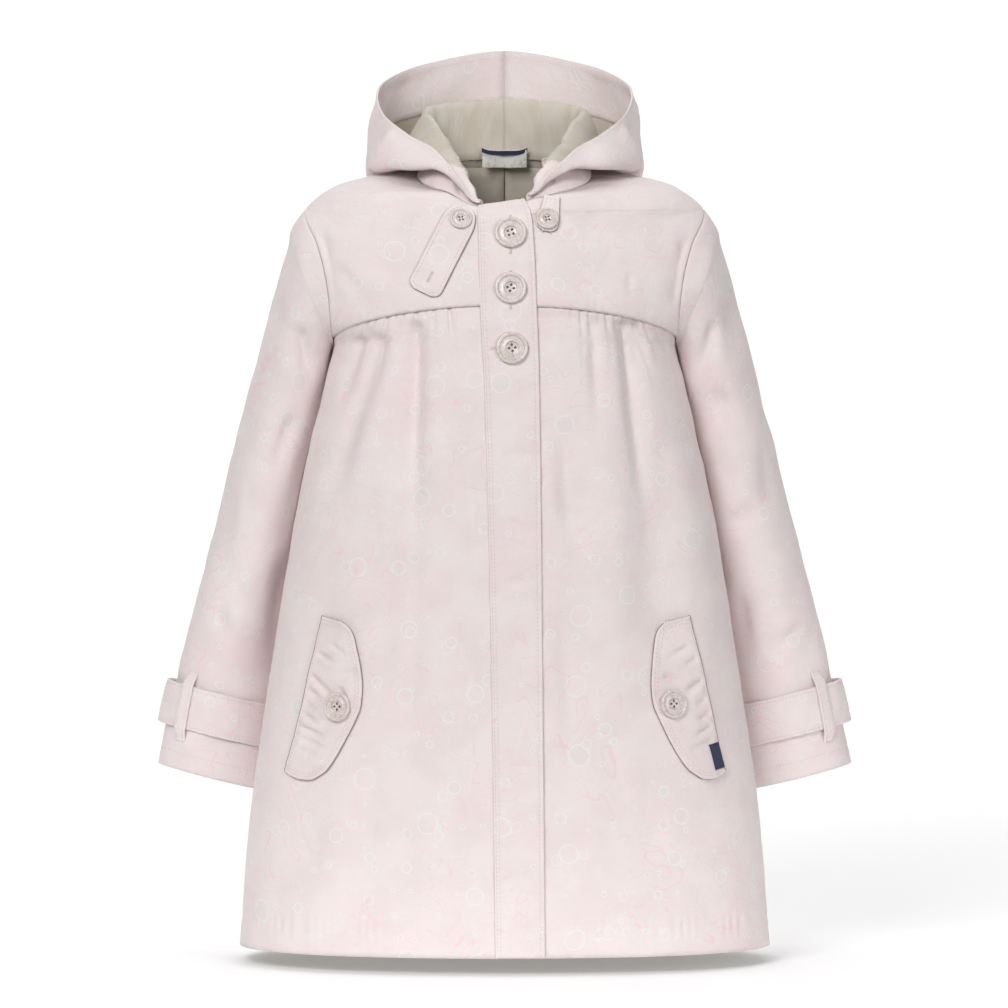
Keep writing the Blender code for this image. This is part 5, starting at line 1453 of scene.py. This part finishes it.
for name, node, ends, widths, rows, seed, rests in (
    ("throat_tab_cloth", "throat_tab", THROAT_TAB, THROAT_TAB_WIDTHS, 74, 71, "yoke_right"),
    ("button_tab_cloth", "button_tab", BUTTON_TAB, BUTTON_TAB_WIDTHS, 40, 73, "yoke_left"),
):
    strip = Strip(ends, widths, seed)
    share, spread = closer_at_ends(rows)[:, None], (closer_at_ends(26) * 2 - 1)[None]
    off = strip.width(share) / 2 * spread
    face, _ = strip.point(share * strip.length + 0 * off, off)
    sewn_piece(name, node, face[:, ::-1], cotton, thick=FOLDED_CLOTH, shift=(11.0 + seed, 0))
    line = inset_line(strip.outline[::-1], TAB_STITCHES)
    inner = gap_to(strip.outline, line[:, 0], line[:, 1]) > 0.9 * TAB_STITCHES
    sew(f"{name}_stitches", [strip.point(line[inner][:, 0], line[inner][:, 1])])
    # A dark strip under the tab's edge: painted shadow, where the tab shades the front.
    painted_shadow_line = strip.point(strip.outline[:, 0], strip.outline[:, 1], EDGE_SINK)
    sew(f"{name}_edge_thread", [painted_shadow_line], **SHADOW_STRIP_SIZE, of=shadow_strip_material)
    if node == "throat_tab":
        throat_strip = strip
    else:
        button_strip = strip

hole_lines = []
along = np.linspace(*TAB_HOLE[0], 40) * throat_strip.length
for side in (-0.55 * MM, 0.55 * MM):
    hole_lines.append(throat_strip.point(along, np.full(40, side), 0.1 * MM))

# ---------------------------------------------------------------- neck label and hanging loop
# A plain pale label and a loop of navy tape, both sewn over the back of the neck seam.

LABEL_HALF, LABEL_OVER, LABEL_UNDER, LABEL_IN = 16.5 * MM, 5.5 * MM, 8 * MM, 6 * MM  # about the neck seam
LOOP_HALF, LOOP_SAG, LOOP_WIDTH, LOOP_STEPS = 17 * MM, 2.5 * MM, 3 * MM, 44
seam = neck_seam(180)
x, down = np.linspace(-1, 1, 34)[None] * LABEL_HALF, np.linspace(0, 1, 18)[:, None]
wave = 0.5 * MM * np.sin(x / LABEL_HALF * 5 + down * 3)
z = seam[2] + LABEL_OVER - (LABEL_OVER + LABEL_UNDER) * down + 0.4 * wave
grid = np.stack(np.broadcast_arrays(x, seam[1] - LABEL_IN - 2 * MM * down + wave - x**2 / (150 * MM), z), -1)
label, tree, shader = new_material("pale_label_cotton", "#DAD7D0", 0.8, Sheen_Weight=0.2)
plane = add_node(tree, "ShaderNodeUVMap", uv_map="cloth").outputs[0]
colour = tint(tree, "#DCD9D3", "#A9A8A6", ramp(tree, noise(tree, plane, 5 * MM, 4.0, 1.0), 0.5, 0.62), 0.5)
tree.links.new(colour, shader.inputs["Base Color"])
sewn_piece(
    "neck_label_cloth", "neck_label", grid, label,
    thick=0.5 * MM, slot="beige_lining_twill",
)

across = np.linspace(-1, 1, LOOP_STEPS)
path = np.stack([across * LOOP_HALF, seam[1] - LABEL_IN - 2 * MM - 1.5 * MM * (1 - across**2), seam[2] + LABEL_OVER - LOOP_SAG * (1 - across**4)], -1)
ring = np.array([(-0.5, -1), (0.5, -1), (0.5, 1), (-0.5, 1)]) * (0.8 * MM, LOOP_WIDTH / 2)  # the tape, cut through
loop_points = (path[:, None] + np.stack([0 * ring[:, 0], ring[:, 0], ring[:, 1]], -1)[None]).reshape(-1, 3)
loop_faces = [(4 * i + j, 4 * i + (j + 1) % 4, 4 * i + 4 + (j + 1) % 4, 4 * i + 4 + j) for i in range(LOOP_STEPS - 1) for j in range(4)]
loop_faces += [(3, 2, 1, 0), tuple(4 * LOOP_STEPS - 4 + j for j in range(4))]
mesh = bpy.data.meshes.new("hanging_loop_tape")
mesh.from_pydata(loop_points.tolist(), [], loop_faces)
mesh.uv_layers.new(name="cloth")
mesh.materials.append(tape)
loop = bpy.data.objects.new("hanging_loop_tape", mesh)
scene.collection.objects.link(loop)
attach(loop, "root")
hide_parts("hanging_loop")

# ---------------------------------------------------------------- buttons and buttonholes
# Turned resin buttons with a raised rim, a ridge, and four holes in a sunk middle, sewn on with
# crossed thread: three large ones down the placket, one on each flap, two small ones at the
# throat. The placket's buttonholes are overcast, and their ends show past the buttons.

LARGE_BUTTON, POCKET_BUTTON, SMALL_BUTTON = (22.9, 3.3), (21.0, 3.0), (16.0, 2.6)
BUTTON_PROFILE = (  # shares of the radius and the thickness, from the middle round to the back
    (0.00, 0.40),
    (0.33, 0.40),
    (0.37, 0.44),
    (0.40, 0.66),
    (0.45, 0.72),
    (0.50, 0.64),
    (0.70, 0.60),
    (0.74, 0.62),
    (0.78, 0.76),
    (0.83, 0.86),
    (0.92, 0.86),
    (0.97, 0.76),
    (1.00, 0.58),
    (1.00, 0.45),
    (0.95, 0.18),
    (0.80, 0.00),
    (0.00, 0.00),
)
# Painted shade: where the resin's colour is darkened, in the grooves and at the outer edge.
GROOVE_SHADE = ((0.375, 0.05), (0.755, 0.045), (1.0, 0.035))  # shares of the radius: where, half width
BUTTON_STEPS, HOLE_STEPS, HOLE_RADIUS, HOLE_OFF = 72, 14, 0.085, 0.20
PLACKET_BUTTONS = ((4.3, -43.7), (4.3, -83.4), (5.3, -125.8))
POCKET_BUTTONS = {"right": (-117, -380), "left": (118, -378)}
SMALL_BUTTONS = {"right": (-31, -34), "left": (30.4, -33.5)}
BUTTONHOLE = 25 * MM

# Polished resin, cream with rosy and grey strokes stirred through it, so highlights are sharp.
# Painted shade: a darker tone in the turned grooves and round the outer edge, so the rings stand out.
resin, tree, shader = new_material("marbled_resin_button", "#E8DBD6", 0.30, Coat_Weight=0.3, Coat_Roughness=0.2)
spot = add_node(tree, "ShaderNodeTexCoord").outputs["Object"]
colour = tint(tree, "#E6DAD5", "#D2C1BC", ramp(tree, noise(tree, spot, 5 * MM, 4.0, 2.5), 0.48, 0.66), 0.8)
colour = tint(tree, colour, "#F3ECE8", ramp(tree, noise(tree, spot, 3.1 * MM, 3.0, 3.0), 0.55, 0.70), 0.7)
vein = sum_of(tree, "ABSOLUTE", sum_of(tree, "SUBTRACT", noise(tree, spot, 4.4 * MM, 2.0, 1.5), 0.5))
colour = tint(tree, colour, "#B3A19B", ramp(tree, vein, 0.0, 0.03, 1.0, 0.0), 0.45)
reach = add_node(tree, "ShaderNodeAttribute", attribute_name="reach").outputs["Fac"]
# Each groove and the outer edge get painted shade.
for at, half in GROOVE_SHADE:
    off = sum_of(tree, "ABSOLUTE", sum_of(tree, "SUBTRACT", reach, at))
    colour = tint(tree, colour, "#A4928C", ramp(tree, off, 0.4 * half, half, 1.0, 0.0), 0.32)
tree.links.new(colour, shader.inputs["Base Color"])
bump = add_node(tree, "ShaderNodeBump", {"Height": noise(tree, spot, 2 * MM, 3.0), "Distance": 0.12 * MM, "Strength": 0.5})
tree.links.new(bump.outputs[0], shader.inputs["Normal"])


def button_mesh(name, diameter, thick):
    """A turned button facing +Z from its back at 0, with its holes cut through."""
    radius = diameter * MM / 2
    turned = bmesh.new()
    rings = []
    for reach, rise in BUTTON_PROFILE:
        angles = [math.tau * i / BUTTON_STEPS for i in range(BUTTON_STEPS)] if reach else [0.0]
        rings.append([turned.verts.new((reach * radius * math.cos(a), reach * radius * math.sin(a), rise * thick * MM)) for a in angles])
    for upper, lower in zip(rings, rings[1:]):
        for i in range(BUTTON_STEPS):
            k = (i + 1) % BUTTON_STEPS
            corners = [upper[i % len(upper)], lower[i % len(lower)], lower[k % len(lower)], upper[k % len(upper)]]
            turned.faces.new(list(dict.fromkeys(corners)))
    solid = bpy.data.meshes.new(name)
    turned.to_mesh(solid)
    turned.free()
    holes = bmesh.new()
    for i in range(4):
        angle = math.tau * (i + 0.5) / 4
        place = Matrix.Translation((HOLE_OFF * radius * math.cos(angle), HOLE_OFF * radius * math.sin(angle), 0))
        bmesh.ops.create_cone(
            holes, cap_ends=True, segments=HOLE_STEPS, radius1=HOLE_RADIUS * radius,
            radius2=HOLE_RADIUS * radius, depth=20 * MM, matrix=place,
        )
    drilled = bpy.data.meshes.new(f"{name}_holes")
    holes.to_mesh(drilled)
    holes.free()
    blank, drill = bpy.data.objects.new(name, solid), bpy.data.objects.new(f"{name}_holes", drilled)
    for piece in (blank, drill):
        scene.collection.objects.link(piece)
    cut = blank.modifiers.new("holes", "BOOLEAN")
    cut.operation, cut.object = "DIFFERENCE", drill
    bpy.context.view_layer.update()
    made = bpy.data.meshes.new_from_object(blank.evaluated_get(bpy.context.evaluated_depsgraph_get()))
    for piece in (blank, drill):
        bpy.data.objects.remove(piece)
    reach = [math.hypot(v.co.x, v.co.y) / radius for v in made.vertices]
    made.attributes.new("reach", "FLOAT", "POINT").data.foreach_set("value", reach)
    return made


def set_button(name, node, mesh, seat, facing, spin):
    """A button whose back lies on seat, facing out. Gives its place."""
    turned = Vector(facing).to_track_quat("Z", "Y").to_matrix().to_4x4() @ Matrix.Rotation(spin, 4, "Z")
    own = mesh.copy()
    own.transform(Matrix.Translation(seat) @ turned)
    own.materials.clear()
    own.materials.append(resin)
    own.name = name
    own.set_sharp_from_angle(angle=math.radians(40))
    made = bpy.data.objects.new(name, own)
    scene.collection.objects.link(made)
    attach(made, "root")
    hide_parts(node)
    return Matrix.Translation(seat) @ turned


def hole_thread(place, diameter, thick):
    """Short lines of thread that fill a button's four holes."""
    reach, rise = HOLE_OFF * diameter * MM / 2, 0.36 * thick * MM
    half = HOLE_RADIUS * diameter * MM / 2 * 0.8
    lines = []
    for start in (45, 135, 225, 315):
        angle = math.radians(start)
        ends = (reach + np.linspace(-half, half, 4))[:, None] * np.array([math.cos(angle), math.sin(angle)])
        points = np.array([place @ Vector((x, y, rise)) for x, y in ends])
        lines.append((points, np.tile(np.array(place.to_3x3() @ Vector((0, 0, 1))), (4, 1))))
    return lines


thread_lines = []
large, pocket, small = (
    button_mesh(name, *size)
    for name, size in (("large_button", LARGE_BUTTON), ("pocket_button", POCKET_BUTTON), ("small_button", SMALL_BUTTON))
)
for i, (x, z) in enumerate(np.array(PLACKET_BUTTONS) * MM, 1):
    height = height_at(x, z)
    left, right = PLACKET["left"](height), PLACKET["right"](height)
    seat = placket_point((x - right) / (left - right), height, 0.25 * MM)
    facing = outward(share_at(x, height), height, "front")
    place = set_button(f"placket_button_{i}_resin", f"placket_button_{i}", large, seat, facing, 0.3 * i)
    thread_lines += hole_thread(place, *LARGE_BUTTON)
    way = np.array([0.0, 1.0]) if i < 3 else np.array([1.0, 0.0])
    for side in (-0.5 * MM, 0.5 * MM):
        step = np.linspace(-0.55, 0.55, 50)[:, None] * BUTTONHOLE * way + side * way[::-1]
        spots = np.array([x, z - (1.2 * MM if i < 3 else 0)]) + step - (1.5 * MM if i == 3 else 0) * way
        hole_heights = height_at(spots[:, 0], spots[:, 1])
        left, right = PLACKET["left"](hole_heights), PLACKET["right"](hole_heights)
        points = placket_point((spots[:, 0] - right) / (left - right), hole_heights)
        hole_lines.append((points, outward(share_at(spots[:, 0], hole_heights), hole_heights, "front")))
for wearer, (x, z) in POCKET_BUTTONS.items():
    scale = LEFT_FLAP_SCALE if wearer == "left" else 1.0
    away = np.array([-abs(x), z]) * MM - np.array(FLAP_TOP)
    seat, facing = flap_point(
        wearer, scale, np.array(away @ ALONG_EDGE), np.array(away @ OFF_EDGE), flap_outline(scale), 0.3 * MM
    )
    place = set_button(f"pocket_button_{wearer}_resin", f"pocket_button_{wearer}", pocket, seat, facing, 0.8)
    thread_lines += hole_thread(place, *POCKET_BUTTON)
for wearer, strip in (("right", throat_strip), ("left", button_strip)):
    away = np.array(SMALL_BUTTONS[wearer]) * MM - strip.start
    seat, facing = strip.point(np.array(away @ strip.way / strip.length), np.array(away @ strip.aside), 0.25 * MM)
    place = set_button(f"throat_button_{wearer}_resin", f"throat_button_{wearer}", small, seat, facing, 0.2)
    thread_lines += hole_thread(place, *SMALL_BUTTON)
sew("buttonhole_thread", hole_lines, HOLE_PITCH, 0.5 * MM, HOLE_STITCH, 0.4 * MM)
# The thread in the buttons' holes is darker than the thread itself: painted shade of the holes.
thread_and_hole_shade, _, _ = new_material("hole_shade_dark_thread", "#75645F", 0.6)  # reads as four dark dots
sew("button_thread", thread_lines, 0.4 * MM, 0.9 * MM, 0.9 * MM, 0.7 * MM, thread_and_hole_shade)
